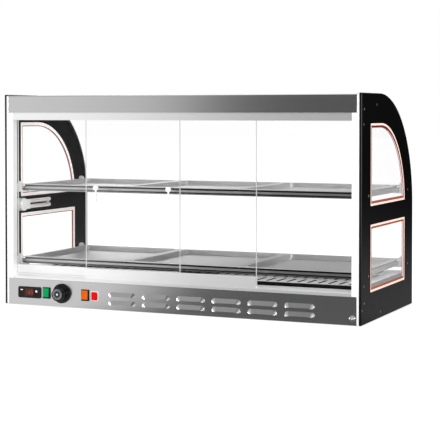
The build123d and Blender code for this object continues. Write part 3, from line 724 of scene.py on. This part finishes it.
def plated(name, colour, worn_and_highlit, rough):
    material, tree, shader = start_material(name, Metallic=1.0)
    skin = place(tree, SKIN, {"Scale": 1800.0, "Roughness": rough, "Roughness Spread": 0.1})
    rim = place(tree, EDGE, {"Width": 0.4 * MM, "Gain": 4.0})
    # Edges turn lighter: wear, and a painted highlight.
    lit = mix_colour(tree, rim["Mask"], toned(tree, colour, skin["Tone"]), (*worn_and_highlit, 1))
    feed(tree, shader, Base_Color=lit, Roughness=skin["Roughness"])
    bump(tree, shader, skin["Height"], 6e-6, 0.5, rim["Normal"])
    return material


def heated_tube():
    material, tree, shader = start_material("heat tinted tube", Metallic=1.0)
    slow = noise(tree, place_in_case(tree), 11.0, 3.0)
    bare, straw, blue = (0.30, 0.285, 0.27, 1), (0.34, 0.25, 0.15, 1), (0.17, 0.19, 0.26, 1)
    warm = mix_colour(tree, ramp(tree, slow, 0.35, 0.55), bare, straw)
    tint = mix_colour(tree, ramp(tree, slow, 0.58, 0.75), warm, blue)
    skin = place(tree, SKIN, {"Scale": 1400.0, "Roughness": 0.5, "Roughness Spread": 0.2})
    feed(tree, shader, Base_Color=tint, Roughness=skin["Roughness"])
    bump(tree, shader, skin["Height"], 2e-5, 0.6)
    return material


LATHE_RINGS = 9000.0    # radians a metre, so a ring every 0.35 mm
DIAL_PLATE = dial_plate()
ZINC = plated("zinc plate", (0.66, 0.66, 0.65), (0.90, 0.90, 0.89), 0.34)
NICKEL = plated("bright nickel", (0.88, 0.87, 0.85), (0.96, 0.96, 0.95), 0.20)
HEATED = heated_tube()
print("four small metals")

# %% [markdown]
# ### Glass
#
# Panes are solids with real thickness, so one Principled shader with full transmission
# bends and reflects light as glass does. Lamps could not shine through it in a render of
# few samples, so a Mix Shader lets shadow rays pass by a Transparent shader. The pane
# edges group tints the cut edges and adds faint wipe marks to the gloss. These panes are
# coated against glare and mirror much less than plain glass, hence the low IOR. With it
# the side windows would mirror next to nothing, so they get a veil instead: the more
# slanting the view, the more they dim what is behind them and add a pale sheet of light.
# The bent glass has a strip along each end where the clear sealant behind it makes it
# matt and grey. The doors' edges are ground, with a narrow chamfer that the Generated
# coordinate finds at both ends of the pane. Ground glass catches light from all sides,
# which a small emission stands for: it looks pale before the dark trays and grey before a
# white wall.

# %% Glass
CLEAR = (1.0, 1.0, 1.0, 1)
BLACK = (0.0, 0.0, 0.0, 1)
SEALANT = (0.60, 0.61, 0.61, 1)
CHAMFER_FROM = (0.4978, 0.4982)    # in widths of the pane, off its middle
VEIL_FROM = (0.30, 0.60)           # slant at which the veil starts and is full


def start_glass(name, axis, index=1.1, low=0.3, high=0.6, **sockets):
    """Pane that lamps shine through; also returns the mask and the roughness of its edges."""
    material, tree, shader = start_material(name, Transmission_Weight=1.0, IOR=index, **sockets)
    cut = place(tree, PANE_EDGES, {"Axis": axis, "Low": low, "High": high})
    passing = put(tree, "BsdfTransparent", {"Color": CLEAR}).outputs[0]
    lamp_ray = put(tree, "LightPath").outputs["Is Shadow Ray"]
    mixed = put(tree, "MixShader", {0: lamp_ray, 1: shader.outputs[0], 2: passing}).outputs[0]
    tree.links.new(mixed, tree.nodes["Material Output"].inputs["Surface"])
    return material, tree, shader, cut


def door_glass(tint, ground):
    """Pane with ground edges and chamfers that glow by the level `ground`."""
    material, tree, shader, cut = start_glass("door glass", (0.0, 1.0, 0.0), Emission_Strength=1.0)
    across = parts_of(tree, put(tree, "TexCoord").outputs["Generated"])["X"]
    off_middle = sums(tree, "ABSOLUTE", sums(tree, "SUBTRACT", across, 0.5))
    matt = sums(tree, "MAXIMUM", cut["Mask"], ramp(tree, off_middle, *CHAMFER_FROM))
    colour = mix_colour(tree, matt, CLEAR, (*tint, 1))
    pale = mix_colour(tree, matt, BLACK, (ground, ground, ground, 1))
    feed(tree, shader, Base_Color=colour, Emission_Color=pale, Roughness=cut["Roughness"])
    return material


def window_glass(tint, veil):
    """Pane that veils what is behind it, by up to `veil` at a slanting view."""
    material, tree, shader, cut = start_glass(
        "window glass", (1.0, 0.0, 0.0), index=1.05, Emission_Strength=1.0
    )
    slant = put(tree, "LayerWeight", {"Blend": 0.5}).outputs["Facing"]
    sheet = ramp(tree, slant, *VEIL_FROM, 0.0, veil)
    through = sums(tree, "SUBTRACT", 1.0, sheet)
    dimmed = grey(tree, sums(tree, "MULTIPLY", through, through))
    colour = mix_colour(tree, cut["Mask"], dimmed, (*tint, 1))
    glow = grey(tree, sheet)
    feed(tree, shader, Base_Color=colour, Emission_Color=glow, Roughness=cut["Roughness"])
    return material


def bent_glass(tint, sealed):
    """Bent pane that is matt and grey further than `sealed` from the case's middle."""
    material, tree, shader, cut = start_glass("bent glass", (1.0, 0.0, 0.0), low=0.6, high=0.3)
    strip = ramp(tree, from_middle(tree), sealed, sealed + 0.5 * MM)
    pane = mix_colour(tree, cut["Mask"], CLEAR, (*tint, 1))
    colour = mix_colour(tree, strip, pane, SEALANT)
    matt = sums(tree, "MULTIPLY", strip, 0.5)
    rough = sums(tree, "ADD", cut["Roughness"], matt, clamp=True)
    feed(tree, shader, Base_Color=colour, Roughness=rough)
    return material


DOOR_GLASS = door_glass((0.02, 0.02, 0.02), ground=0.52)
WINDOW_GLASS = window_glass((0.72, 0.76, 0.74), veil=0.13)
CURVED_GLASS = bent_glass((0.70, 0.76, 0.74), sealed=PANEL_INSIDE - 6 * MM)
print("three kinds of pane")

# %% [markdown]
# ### Milky and smoked parts
#
# The lamp's tubes are opal glass: nearly white, glossy, a little see-through at the rim,
# which a touch of subsurface scattering gives. The finger pulls are white gloss
# plastic. The display's window is smoked, nearly black, with a dull red glow behind its
# middle from the digits' lamp.

# %% Opal, white and smoked
def opal():
    material, tree, shader = start_material(
        "opal tube", Coat_Weight=0.5, Subsurface_Weight=0.3, Subsurface_Scale=4 * MM
    )
    skin = place(tree, SKIN, {"Scale": 600.0, "Roughness": 0.2, "Roughness Spread": 0.08})
    colour = toned(tree, (0.92, 0.92, 0.91), skin["Tone"])
    feed(tree, shader, Base_Color=colour, Roughness=skin["Roughness"])
    return material


def pull_white():
    material, tree, shader = start_material(
        "white pull", Coat_Weight=0.4, Subsurface_Weight=0.1, Subsurface_Scale=2 * MM
    )
    skin = place(tree, SKIN, {"Scale": 1500.0, "Roughness": 0.24, "Roughness Spread": 0.08})
    colour = toned(tree, (0.90, 0.90, 0.90), skin["Tone"])
    feed(tree, shader, Base_Color=colour, Roughness=skin["Roughness"])
    bump(tree, shader, skin["Height"], 6e-6, 0.4)
    return material


DISPLAY_GLOW = (-0.480, -0.452)    # where along X the digits' lamp shows


def smoked():
    material, tree, shader = start_material(
        "smoked red window", Specular_IOR_Level=0.2, Emission_Strength=1.0
    )
    spot = place_in_case(tree)
    cloud = noise(tree, spot, 60.0, 2.0)
    shade = ramp(tree, cloud, 0.3, 0.7)
    colour = mix_colour(tree, shade, (0.006, 0.003, 0.003, 1), (0.012, 0.005, 0.004, 1))
    lamp = band(tree, parts_of(tree, spot)["X"], *DISPLAY_GLOW, 5 * MM)
    uneven = sums(tree, "MULTIPLY", lamp, ramp(tree, cloud, 0.2, 0.8, 0.5, 1.0))
    glow = mix_colour(tree, uneven, (0.002, 0.001, 0.001, 1), (0.085, 0.018, 0.004, 1))
    rough = ramp(tree, cloud, 0.2, 0.8, 0.10, 0.18)
    feed(tree, shader, Base_Color=colour, Emission_Color=glow, Roughness=rough)
    return material


OPAL = opal()
PULL_WHITE = pull_white()
SMOKED = smoked()
print("three milky or smoked finishes")

# %% [markdown]
# ## Hand the finishes to the solids
#
# Each solid of the CAD model came with a plain colour in one material slot. The table
# below names the finish of every solid, by whole name or by how the name starts, and the
# loop puts it in the slot. The longest match wins, so a family can have an exception.

# %% Finish of every solid
FINISHES = {
    "control_fascia": STEEL_FACE,
    "top_cover": STEEL_FACE,
    "base_pan": STEEL_BASE,
    "heat_shield": STEEL_INNER,
    "floor_plate": STEEL_FLOOR,
    "shelf_frame": STEEL_SHELF,
    "heater_brackets": STEEL_INNER,
    "tray": STEEL_TRAY,
    "side_panel": PANEL_BLACK,
    "post": POST_WHITE,
    "shelf_brackets": POST_WHITE,
    "lamp_holder": HOLDER_WHITE,
    "lamp_tubes": OPAL,
    "top_track": TRACK_ALUMINIUM,
    "sill_track": SILL_ALUMINIUM,
    "glass_rail": TRACK_ALUMINIUM,
    "door_rail": RAIL_ALUMINIUM,
    "door_glass": DOOR_GLASS,
    "door_pull": PULL_WHITE,
    "curved_glass": CURVED_GLASS,
    "window_pane": WINDOW_GLASS,
    "window_seal": SILICONE_WHITE,
    "window_beads": SILICONE_RED,
    "knob": BLACK_PLASTIC,
    "knob_cap": DIAL_PLATE,
    "thermostat": BLACK_PLASTIC,
    "green_switch_housing": BLACK_PLASTIC,
    "orange_switch_housing": BLACK_PLASTIC,
    "green_rocker": GREEN_LENS,
    "orange_rocker": ORANGE_LENS,
    "pilot_lamp_collar": COLLAR_PALE,
    "pilot_lamp_lens": RED_LENS,
    "terminal_block": COLLAR_PALE,
    "display_bezel": DISPLAY_BLACK,
    "display_window": SMOKED,
    "earth_terminal": NICKEL,
    "side_screws": ZINC,
    "heating_element": HEATED,
    "feet": RUBBER_BLACK,
    "cable_grommet": RUBBER_BLACK,
}
for name, solid in NODES.items():
    starts = [key for key in FINISHES if name.startswith(key)]
    for slot in solid.material_slots:
        slot.material = FINISHES[max(starts, key=len)]
print("finishes on", len(NODES), "solids")

# %% [markdown]
# ## Mesh helpers
#
# The small parts that the CAD model leaves out are printed marks, lamp digits and the
# like: thin shapes that lie on a surface. `plate` raises an outline into a thin solid,
# and `rounded_bar` draws an outline with round corners. `finish_piece` turns a mesh into
# an object that rides on the right body, so that it turns with what it is printed on.

# %% Mesh helpers
def plate(made, outline, thickness, place_by):
    """Adds an outline, given as (x, y) points, raised to a thin solid and placed by a matrix."""
    low = [made.verts.new(place_by @ Vector((x, y, 0))) for x, y in outline]
    high = [made.verts.new(place_by @ Vector((x, y, thickness))) for x, y in outline]
    made.faces.new(reversed(low))
    made.faces.new(high)
    for index in range(len(outline)):
        after = (index + 1) % len(outline)
        made.faces.new((low[index], low[after], high[after], high[index]))


def finish_piece(name, made, material, body, smooth=False):
    """Object of a bmesh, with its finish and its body."""
    bmesh.ops.recalc_face_normals(made, faces=made.faces)
    mesh = bpy.data.meshes.new(name)
    made.to_mesh(mesh)
    made.free()
    for face in mesh.polygons:
        face.use_smooth = smooth
    mesh.materials.append(material)
    piece = bpy.data.objects.new(name, mesh)
    bpy.context.scene.collection.objects.link(piece)
    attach(piece, body)


def facing_operator(x, y, z):
    """Matrix of a plane whose own x runs right, y runs up and z comes towards the operator."""
    return Matrix(((1, 0, 0, x), (0, 0, -1, y), (0, 1, 0, z), (0, 0, 0, 1)))


def rounded_bar(length, height, rounding, steps=3):
    """Outline of a bar with rounded corners, centred on the origin."""
    points = []
    corners = ((1, 1, 0), (-1, 1, 90), (-1, -1, 180), (1, -1, 270))
    for side_x, side_y, start in corners:
        for step in range(steps + 1):
            angle = math.radians(start + 90 * step / steps)
            x = side_x * (length / 2 - rounding) + rounding * math.cos(angle)
            y = side_y * (height / 2 - rounding) + rounding * math.sin(angle)
            points.append((x, y))
    return points


print("mesh helpers ready")

# %% [markdown]
# ## Printed paint
#
# The marks of the dial are pad printed: a matt film a few hundredths of a millimetre
# thick, slightly uneven. A noise in its colour and gloss is enough at that size. The mark
# itself is real geometry.

# %% Printing ink
def ink(name, colour):
    material, tree, shader = start_material(name)
    speck = noise(tree, place_in_case(tree), 900.0, 2.0)
    dim = tuple(c * 0.82 for c in colour)
    shade = mix_colour(tree, speck, (*dim, 1), (*colour, 1))
    feed(tree, shader, Base_Color=shade, Roughness=ramp(tree, speck, 0.2, 0.8, 0.45, 0.65))
    return material


INK_PALE = ink("pale ink", (0.70, 0.70, 0.69))
INK_BLACK = ink("black ink", (0.02, 0.02, 0.02))
INK_FILM = 0.06 * MM
print("two inks")

# %% [markdown]
# ## Dial of the thermostat
#
# The dark ring in the knob's front carries pale ticks along its rim and plain numbers
# inside them, and a small wedge on the fascia shows the setting. Turning the knob to the
# right brings higher numbers to the wedge, so they run to the left round the ring. Every
# third tick is long and belongs to a number.

# %% Dial ticks
DIAL_FACE = 27.3 * MM      # in front of the operator's face
TICK_RADIUS = 14.5 * MM
TURN = 270                 # degrees
TICKS = 27
TICKS_A_NUMBER = 3
LONG_TICK = (0.45 * MM, 1.5 * MM)
SHORT_TICK = (0.3 * MM, 0.9 * MM)


def dial_matrix(turned, radius, rise):
    """Plane on the ring at an angle counted to the left from the top."""
    angle = math.radians(turned)
    centre = facing_operator(KNOB.x, KNOB.y - rise, KNOB.z)
    return centre @ Matrix.Rotation(angle, 4, "Z") @ Matrix.Translation((0, radius, 0))


ticks = bmesh.new()
for step in range(TICKS + 1):
    wide, long = SHORT_TICK if step % TICKS_A_NUMBER else LONG_TICK
    bar = rounded_bar(wide, long, 0.1 * MM)
    plate(ticks, bar, INK_FILM, dial_matrix(TURN * step / TICKS, TICK_RADIUS, DIAL_FACE))
finish_piece("dial_ticks", ticks, INK_PALE, "thermostat_knob")
print("ticks:", TICKS + 1)

# %% [markdown]
# ### Numbers and pointer
#
# Text in Blender is a curve object. It is made centred, given the ink's thickness, turned
# into mesh and thrown away, and the mesh is moved to its place on the ring. The numbers
# count from 0 to 90 and name no unit.

# %% Dial numbers and pointer
NUMBERS = 10
NUMBER_RADIUS = 11.7 * MM
NUMBER_HEIGHT = 2.9 * MM
POINTER_ABOVE = 33.2 * MM


def text_mesh(words, height):
    """Mesh of a short text, centred on the origin, raised by the ink's thickness."""
    curve = bpy.data.curves.new("words", "FONT")
    curve.body = words
    curve.size = height
    curve.align_x = "CENTER"
    curve.align_y = "CENTER"
    curve.extrude = INK_FILM / 2
    curve.resolution_u = 3
    holder = bpy.data.objects.new("words", curve)
    bpy.context.scene.collection.objects.link(holder)
    bpy.context.view_layer.update()
    mesh = bpy.data.meshes.new_from_object(holder)
    bpy.data.objects.remove(holder)
    return mesh


numbers = bmesh.new()
for step in range(NUMBERS):
    mesh = text_mesh(str(10 * step), NUMBER_HEIGHT)
    turned = TURN * step / (NUMBERS - 1)
    mesh.transform(dial_matrix(turned, NUMBER_RADIUS, DIAL_FACE + INK_FILM / 2))
    numbers.from_mesh(mesh)
finish_piece("dial_numbers", numbers, INK_PALE, "thermostat_knob")

pointer = bmesh.new()
wedge = [(-1.1 * MM, 1.6 * MM), (0, -1.8 * MM), (1.1 * MM, 1.6 * MM)]
plate(pointer, wedge, INK_FILM, facing_operator(KNOB.x, NEAR, KNOB.z + POINTER_ABOVE))
finish_piece("dial_pointer", pointer, INK_BLACK, "case")
print("dial numbers:", NUMBERS, "and a pointer")

# %% [markdown]
# ## Digits of the temperature display
#
# The display shows its number with bars of red light, seven to a digit. Each bar is a
# thin six-sided plate on the smoked window's front, because the window is too dark to
# look through in a render. Lit bars glow; unlit ones stay as dark ghosts, which is what
# the window looks like from near by. The letters name the bars as is usual, clockwise
# from the top one with g in the middle, and a dictionary says which of them a figure
# lights. The first of the three digits is dark.

# %% Display digits
LIT_FOR = {"": "", "6": "acdefg", "5": "acdfg"}
BAR = {
    "a": (0, 1, 0), "g": (0, 0, 0), "d": (0, -1, 0),
    "f": (-0.5, 0.5, 90), "b": (0.5, 0.5, 90), "e": (-0.5, -0.5, 90), "c": (0.5, -0.5, 90),
}
DIGIT_WIDE = 4.6 * MM
DIGIT_HALF = 4.8 * MM       # from the middle bar to the top one
DIGIT_PITCH = 8.6 * MM
DIGIT_LEAN = 0.09
BAR_GAP = 0.35 * MM
BAR_HALF = 0.55 * MM        # half the width of a bar
BAR_RISE = 0.12 * MM
DISPLAY = Vector((-0.4645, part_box("display_window")[0].y, 0.038))


def bar_outline(length):
    """Six-sided bar with pointed ends."""
    end = length / 2 - BAR_GAP
    flat = end - BAR_HALF
    upper = [(-end, 0), (-flat, BAR_HALF), (flat, BAR_HALF)]
    return upper + [(end, 0), (flat, -BAR_HALF), (-flat, -BAR_HALF)]


def digit_bars(made, keys, x):
    """Adds the named bars of one figure centred at x."""
    for key in keys:
        across, up, turned = BAR[key]
        bar = bar_outline(DIGIT_WIDE if turned == 0 else DIGIT_HALF)
        right = x + across * DIGIT_WIDE + DIGIT_LEAN * up * DIGIT_HALF
        spot = facing_operator(right, DISPLAY.y, DISPLAY.z + up * DIGIT_HALF)
        plate(made, bar, BAR_RISE, spot @ Matrix.Rotation(math.radians(turned), 4, "Z"))


def bar_material(name, colour, strength):
    material, tree, shader = start_material(name, Emission_Strength=strength)
    cloud = noise(tree, place_in_case(tree), 400.0, 1.0)
    dim = tuple(c * 0.6 for c in colour)
    shade = mix_colour(tree, cloud, (*dim, 1), (*colour, 1))
    rough = ramp(tree, cloud, 0.2, 0.8, 0.25, 0.4)
    feed(tree, shader, Base_Color=shade, Emission_Color=shade, Roughness=rough)
    return material


lit_bars = bmesh.new()
dark_bars = bmesh.new()
for place_of, figure in ((-1, ""), (0, "6"), (1, "5")):
    middle = DISPLAY.x + place_of * DIGIT_PITCH
    digit_bars(lit_bars, LIT_FOR[figure], middle)
    digit_bars(dark_bars, [key for key in BAR if key not in LIT_FOR[figure]], middle)
LIT_BAR = bar_material("lit bar", (0.45, 0.09, 0.02), 0.3)
DARK_BAR = bar_material("unlit bar", (0.06, 0.016, 0.008), 0.1)
finish_piece("display_digits", lit_bars, LIT_BAR, "case")
finish_piece("display_digits_unlit", dark_bars, DARK_BAR, "case")
print("display digits at", tuple(round(v, 4) for v in DISPLAY))

# %% [markdown]
# ## Painted highlights on the display
#
# Two small pale pads, shaped as keys, sit in the smoked window's upper part, one at each
# side. They are painted highlights, standing for two glints of light on the window. Each is
# a low cushion: the outline of a rounded bar is drawn in and raised in a few steps, which
# gives a softly domed top without any modifier.

# %% Display pads of painted highlight
def cushion(made, length, height, rise, place_by, steps=4):
    """Adds a low domed pad with a rounded outline."""
    rings = []
    for step in range(steps + 1):
        turn = math.radians(90 * step / (steps + 1))
        inset = 0.45 * height * (1 - math.cos(turn))
        wide, tall = length - 2 * inset, height - 2 * inset
        outline = rounded_bar(wide, tall, tall * 0.4, 4)
        up = rise * math.sin(turn)
        rings.append([made.verts.new(place_by @ Vector((x, y, up))) for x, y in outline])
    for low, high in zip(rings, rings[1:]):
        for index in range(len(low)):
            after = (index + 1) % len(low)
            made.faces.new((low[index], low[after], high[after], high[index]))
    made.faces.new(rings[-1])
    made.faces.new(reversed(rings[0]))


# Pale pads that paint two highlights on the smoked window.
GLINT_PAD_PALE = plastic("pale grey glint pad", (0.92, 0.92, 0.90), 0.25, 2000.0, 3e-6)
GLINT_PAD_RISE = 0.45 * MM
GLINT_PAD_PLACES = ((-26.0, 7.0, 8.0, 3.0), (23.5, 3.6, 7.0, 6.4))    # right, up, length, height
keys = bmesh.new()
for across, up, long, high in GLINT_PAD_PLACES:
    spot = facing_operator(DISPLAY.x + across * MM, DISPLAY.y, DISPLAY.z + up * MM)
    cushion(keys, long * MM, high * MM, GLINT_PAD_RISE, spot)
finish_piece("display_glint_pads", keys, GLINT_PAD_PALE, "case", smooth=True)
print("display keys:", len(GLINT_PAD_PLACES))

# %% [markdown]
# ## Floor
#
# The photograph's ground is plain white. The floor is one large sheet whose shader
# depends on who looks: the camera sees mostly its own white plus a share of real
# lighting, so the case keeps a soft contact shadow. For light that bounces it is an
# ordinary pale surface, and in reflections it is bright to the left of the case and dim
# to the right, as a white wall to the left would make it, with a border that slants away
# to the left further out. A path counts as looking straight at the floor as long as it
# has only passed glass, so Glossy Depth and Diffuse Depth tell.

# %% Floor
def straight_look(tree, rays):
    """1 for what is seen directly or through panes only, else 0."""
    looked = sums(tree, "MAXIMUM", rays["Is Camera Ray"], rays["Is Transmission Ray"])
    bounces = sums(tree, "ADD", rays["Glossy Depth"], rays["Diffuse Depth"], clamp=True)
    return sums(tree, "MULTIPLY", looked, sums(tree, "SUBTRACT", 1.0, bounces))


def mirrored_floor(tree):
    """Colour of the floor in reflections: bright at the left, dim at the right."""
    spot = parts_of(tree, place_in_case(tree))
    ahead = sums(tree, "MAXIMUM", sums(tree, "SUBTRACT", -0.45, spot["Y"]), 0.0)
    slanted = sums(tree, "ADD", spot["X"], sums(tree, "MULTIPLY", ahead, 0.44))
    bright = ramp(tree, slanted, 0.02, -0.42)
    right = ramp(tree, spot["Y"], 0.2, 3.6, 0.27, 0.0)
    behind = ramp(tree, spot["Y"], -0.3, 0.0)
    dim = put(tree, "Mix", {0: behind, 2: 0.13, 3: right}).outputs[0]
    return mix_colour(tree, bright, grey(tree, dim), CLEAR)


def floor_material():
    material = bpy.data.materials.new("pale floor")
    material.use_nodes = True
    material.cycles.emission_sampling = "NONE"
    tree = material.node_tree
    tree.nodes.clear()
    output = put(tree, "OutputMaterial")
    rays = put(tree, "LightPath").outputs
    plain = put(tree, "BsdfDiffuse", {"Color": (0.80, 0.80, 0.80, 1)}).outputs[0]
    white = put(tree, "Emission", {"Color": CLEAR, "Strength": OWN_WHITE}).outputs[0]
    lit = put(tree, "BsdfDiffuse", {"Color": (0.42, 0.42, 0.42, 1)}).outputs[0]
    seen = put(tree, "AddShader", {0: white, 1: lit}).outputs[0]
    mirrored = put(tree, "Emission", {"Color": mirrored_floor(tree)}).outputs[0]
    looks = {0: straight_look(tree, rays), 1: plain, 2: seen}
    first = put(tree, "MixShader", looks).outputs[0]
    glossy = sums(tree, "MINIMUM", rays["Glossy Depth"], 1.0)
    bounced = sums(tree, "SUBTRACT", glossy, rays["Diffuse Depth"], clamp=True)
    second = put(tree, "MixShader", {0: bounced, 1: first, 2: mirrored}).outputs[0]
    tree.links.new(second, output.inputs["Surface"])
    return material


OWN_WHITE = 0.72
UNDER_FEET = 0.2 * MM
REACH = 30.0               # from the middle of the sheet to its sides
ground = bmesh.new()
bmesh.ops.create_grid(ground, x_segments=8, y_segments=8, size=REACH)
floor_mesh = bpy.data.meshes.new("floor")
ground.to_mesh(floor_mesh)
ground.free()
floor_mesh.materials.append(floor_material())
floor = bpy.data.objects.new("floor", floor_mesh)
bpy.context.scene.collection.objects.link(floor)
floor.location.z = CAD_BOX[0].z - UNDER_FEET
print("floor at z =", round(floor.location.z, 4))

# %% [markdown]
# ## Surroundings
#
# Metal and glass show the room more than themselves. What the camera sees directly or
# through panes is white, and diffuse light is an even pale grey. Mirror-like reflections
# see a room: on the operator's side bright at the left and dark at the right, dimmer
# higher up, and behind the case a grey that darkens to the right. The fall-off on the
# operator's side is what draws the long gradient on the beam and the fascia. Straight up
# there is a mid grey ceiling. The room is painted by the parts X, Y and Z of the
# direction, which run from -1 to 1. The world is not sampled as a lamp, because a lamp
# sample carries no path to tell these cases apart.

# %% World
def room_level(tree):
    """How bright mirror-like surfaces see the room in a direction."""
    way = parts_of(tree, put(tree, "TexCoord").outputs["Generated"])
    left = sums(tree, "SUBTRACT", sums(tree, "MULTIPLY", way["Z"], 0.17), way["X"])
    border = ramp(tree, left, 0.385, 0.445, 0.08, 0.50)
    wall = sums(tree, "ADD", border, ramp(tree, left, 0.43, 0.56, 0.0, 0.50))
    lofty = ramp(tree, way["Z"], 0.12, 0.40)
    dimmed = sums(tree, "ADD", sums(tree, "MULTIPLY", wall, 0.45), 0.10)
    near = put(tree, "Mix", {0: lofty, 2: wall, 3: dimmed}).outputs[0]
    far_left = ramp(tree, way["X"], -0.25, -0.50, 0.0, 0.38)
    behind = sums(tree, "ADD", far_left, ramp(tree, way["X"], 0.15, -0.3, 0.02, 0.42))
    to_customer = ramp(tree, way["Y"], -0.1, 0.1)
    level = put(tree, "Mix", {0: to_customer, 2: near, 3: behind}).outputs[0]
    straight_up = ramp(tree, way["Z"], 0.60, 0.90)
    return put(tree, "Mix", {0: straight_up, 2: level, 3: 0.55}).outputs[0]


def build_world():
    world = bpy.data.worlds.new("studio")
    world.use_nodes = True
    world.cycles.sampling_method = "NONE"
    tree = world.node_tree
    tree.nodes.clear()
    rays = put(tree, "LightPath").outputs
    diffuse = sums(tree, "MINIMUM", rays["Diffuse Depth"], 1.0)
    plain = mix_colour(tree, diffuse, grey(tree, room_level(tree)), EVEN_GREY)
    colour = mix_colour(tree, straight_look(tree, rays), plain, CLEAR)
    back = put(tree, "Background", {"Color": colour, "Strength": 1.0}).outputs[0]
    tree.links.new(back, put(tree, "OutputWorld").inputs["Surface"])
    return world


EVEN_GREY = (0.77, 0.77, 0.77, 1)
bpy.context.scene.world = build_world()
print("world:", bpy.context.scene.world.name)

# %% [markdown]
# ## Lamps
#
# The key stands high before the operator's side, a weak fill behind on the left, and one
# box hangs overhead. One at the right reaches the inside of the left panel through the
# open front. The key and the one overhead are two to four times as long as the case:
# that makes shadows soft, and spreads their power so thin that steel which mirrors them,
# such as the top cover seen from above, doesn't clip to white. Two low, small ones, far
# left and at the right, draw the lights on the ends of the louvres. A thin strip lies
# under the lower shelf, as a photographer would slide one in there, so that the slotted
# floor plate doesn't sink into the dark. Together with the world they light white paint
# to just under white. Sizes are in metres and powers in watts.

# %% Lamps
def softbox(name, spot, aim, size, power):
    """Rectangular lamp at a spot, aimed at a point and unseen by the camera."""
    lamp = bpy.data.lights.new(name, "AREA")
    lamp.shape = "RECTANGLE"
    lamp.size, lamp.size_y = size
    lamp.energy = power
    holder = bpy.data.objects.new(name, lamp)
    bpy.context.scene.collection.objects.link(holder)
    holder.location = spot
    way = Vector(aim) - Vector(spot)
    holder.rotation_euler = way.to_track_quat("-Z", "Y").to_euler()
    holder.visible_camera = False


CENTRE = (CAD_BOX[0] + CAD_BOX[1]) / 2
UNDER_SHELF = Vector((0.32, NEAR + 112 * MM, PLATE_TOP + 15.5 * MM))
STRAIGHT_DOWN = UNDER_SHELF - Vector((0, 0, 1))
softbox("key", (0.9, -3.3, 2.3), CENTRE, (2.8, 2.0), 15)
softbox("fill", (-2.0, 2.6, 2.0), CENTRE, (1.4, 1.4), 10)
softbox("top", (0.1, 0.0, 2.6), CENTRE, (4.0, 3.0), 31)
softbox("side", (3.0, -1.05, 0.7), CENTRE, (1.2, 1.2), 28)
softbox("low left", (-3.0, -1.0, 0.3), CENTRE, (0.8, 0.8), 50)
softbox("low front", (1.1, -2.7, 0.15), CENTRE, (1.3, 0.35), 6)
softbox("under shelf", UNDER_SHELF, STRAIGHT_DOWN, (0.5, 0.12), 0.075)
print("soft boxes:", len(bpy.data.lights))

# %% [markdown]
# ## Camera
#
# The photograph was taken from about four metres with a long lens, a little above the
# case and to its right, with the camera almost level. A view camera shifts its lens to
# keep uprights parallel; the small vertical shift here does the same. The lens comes
# from the focal length in pixels over the picture's width of 440 pixels, and the shift
# from the row of pixels that lies straight ahead of the lens.

# %% Camera
SENSOR = 36.0
PIXELS = 440
FOCAL_PIXELS = 1380.0
ROW_AHEAD = 150
TILTED_DOWN = 1.502      # degrees
TURNED_LEFT = 23.885
lens_data = bpy.data.cameras.new("camera")
lens_data.sensor_width = SENSOR
lens_data.lens = FOCAL_PIXELS * SENSOR / PIXELS
lens_data.shift_y = (ROW_AHEAD - PIXELS / 2) / PIXELS
lens_data.clip_start, lens_data.clip_end = 0.05, 100
camera = bpy.data.objects.new("camera", lens_data)
bpy.context.scene.collection.objects.link(camera)
camera.location = (1.6715, -3.6775, 0.5592)
camera.rotation_euler = (math.radians(90 - TILTED_DOWN), 0, math.radians(TURNED_LEFT))
bpy.context.scene.camera = camera
bpy.context.scene.view_settings.view_transform = "Standard"
print("lens", round(lens_data.lens, 1), "mm")
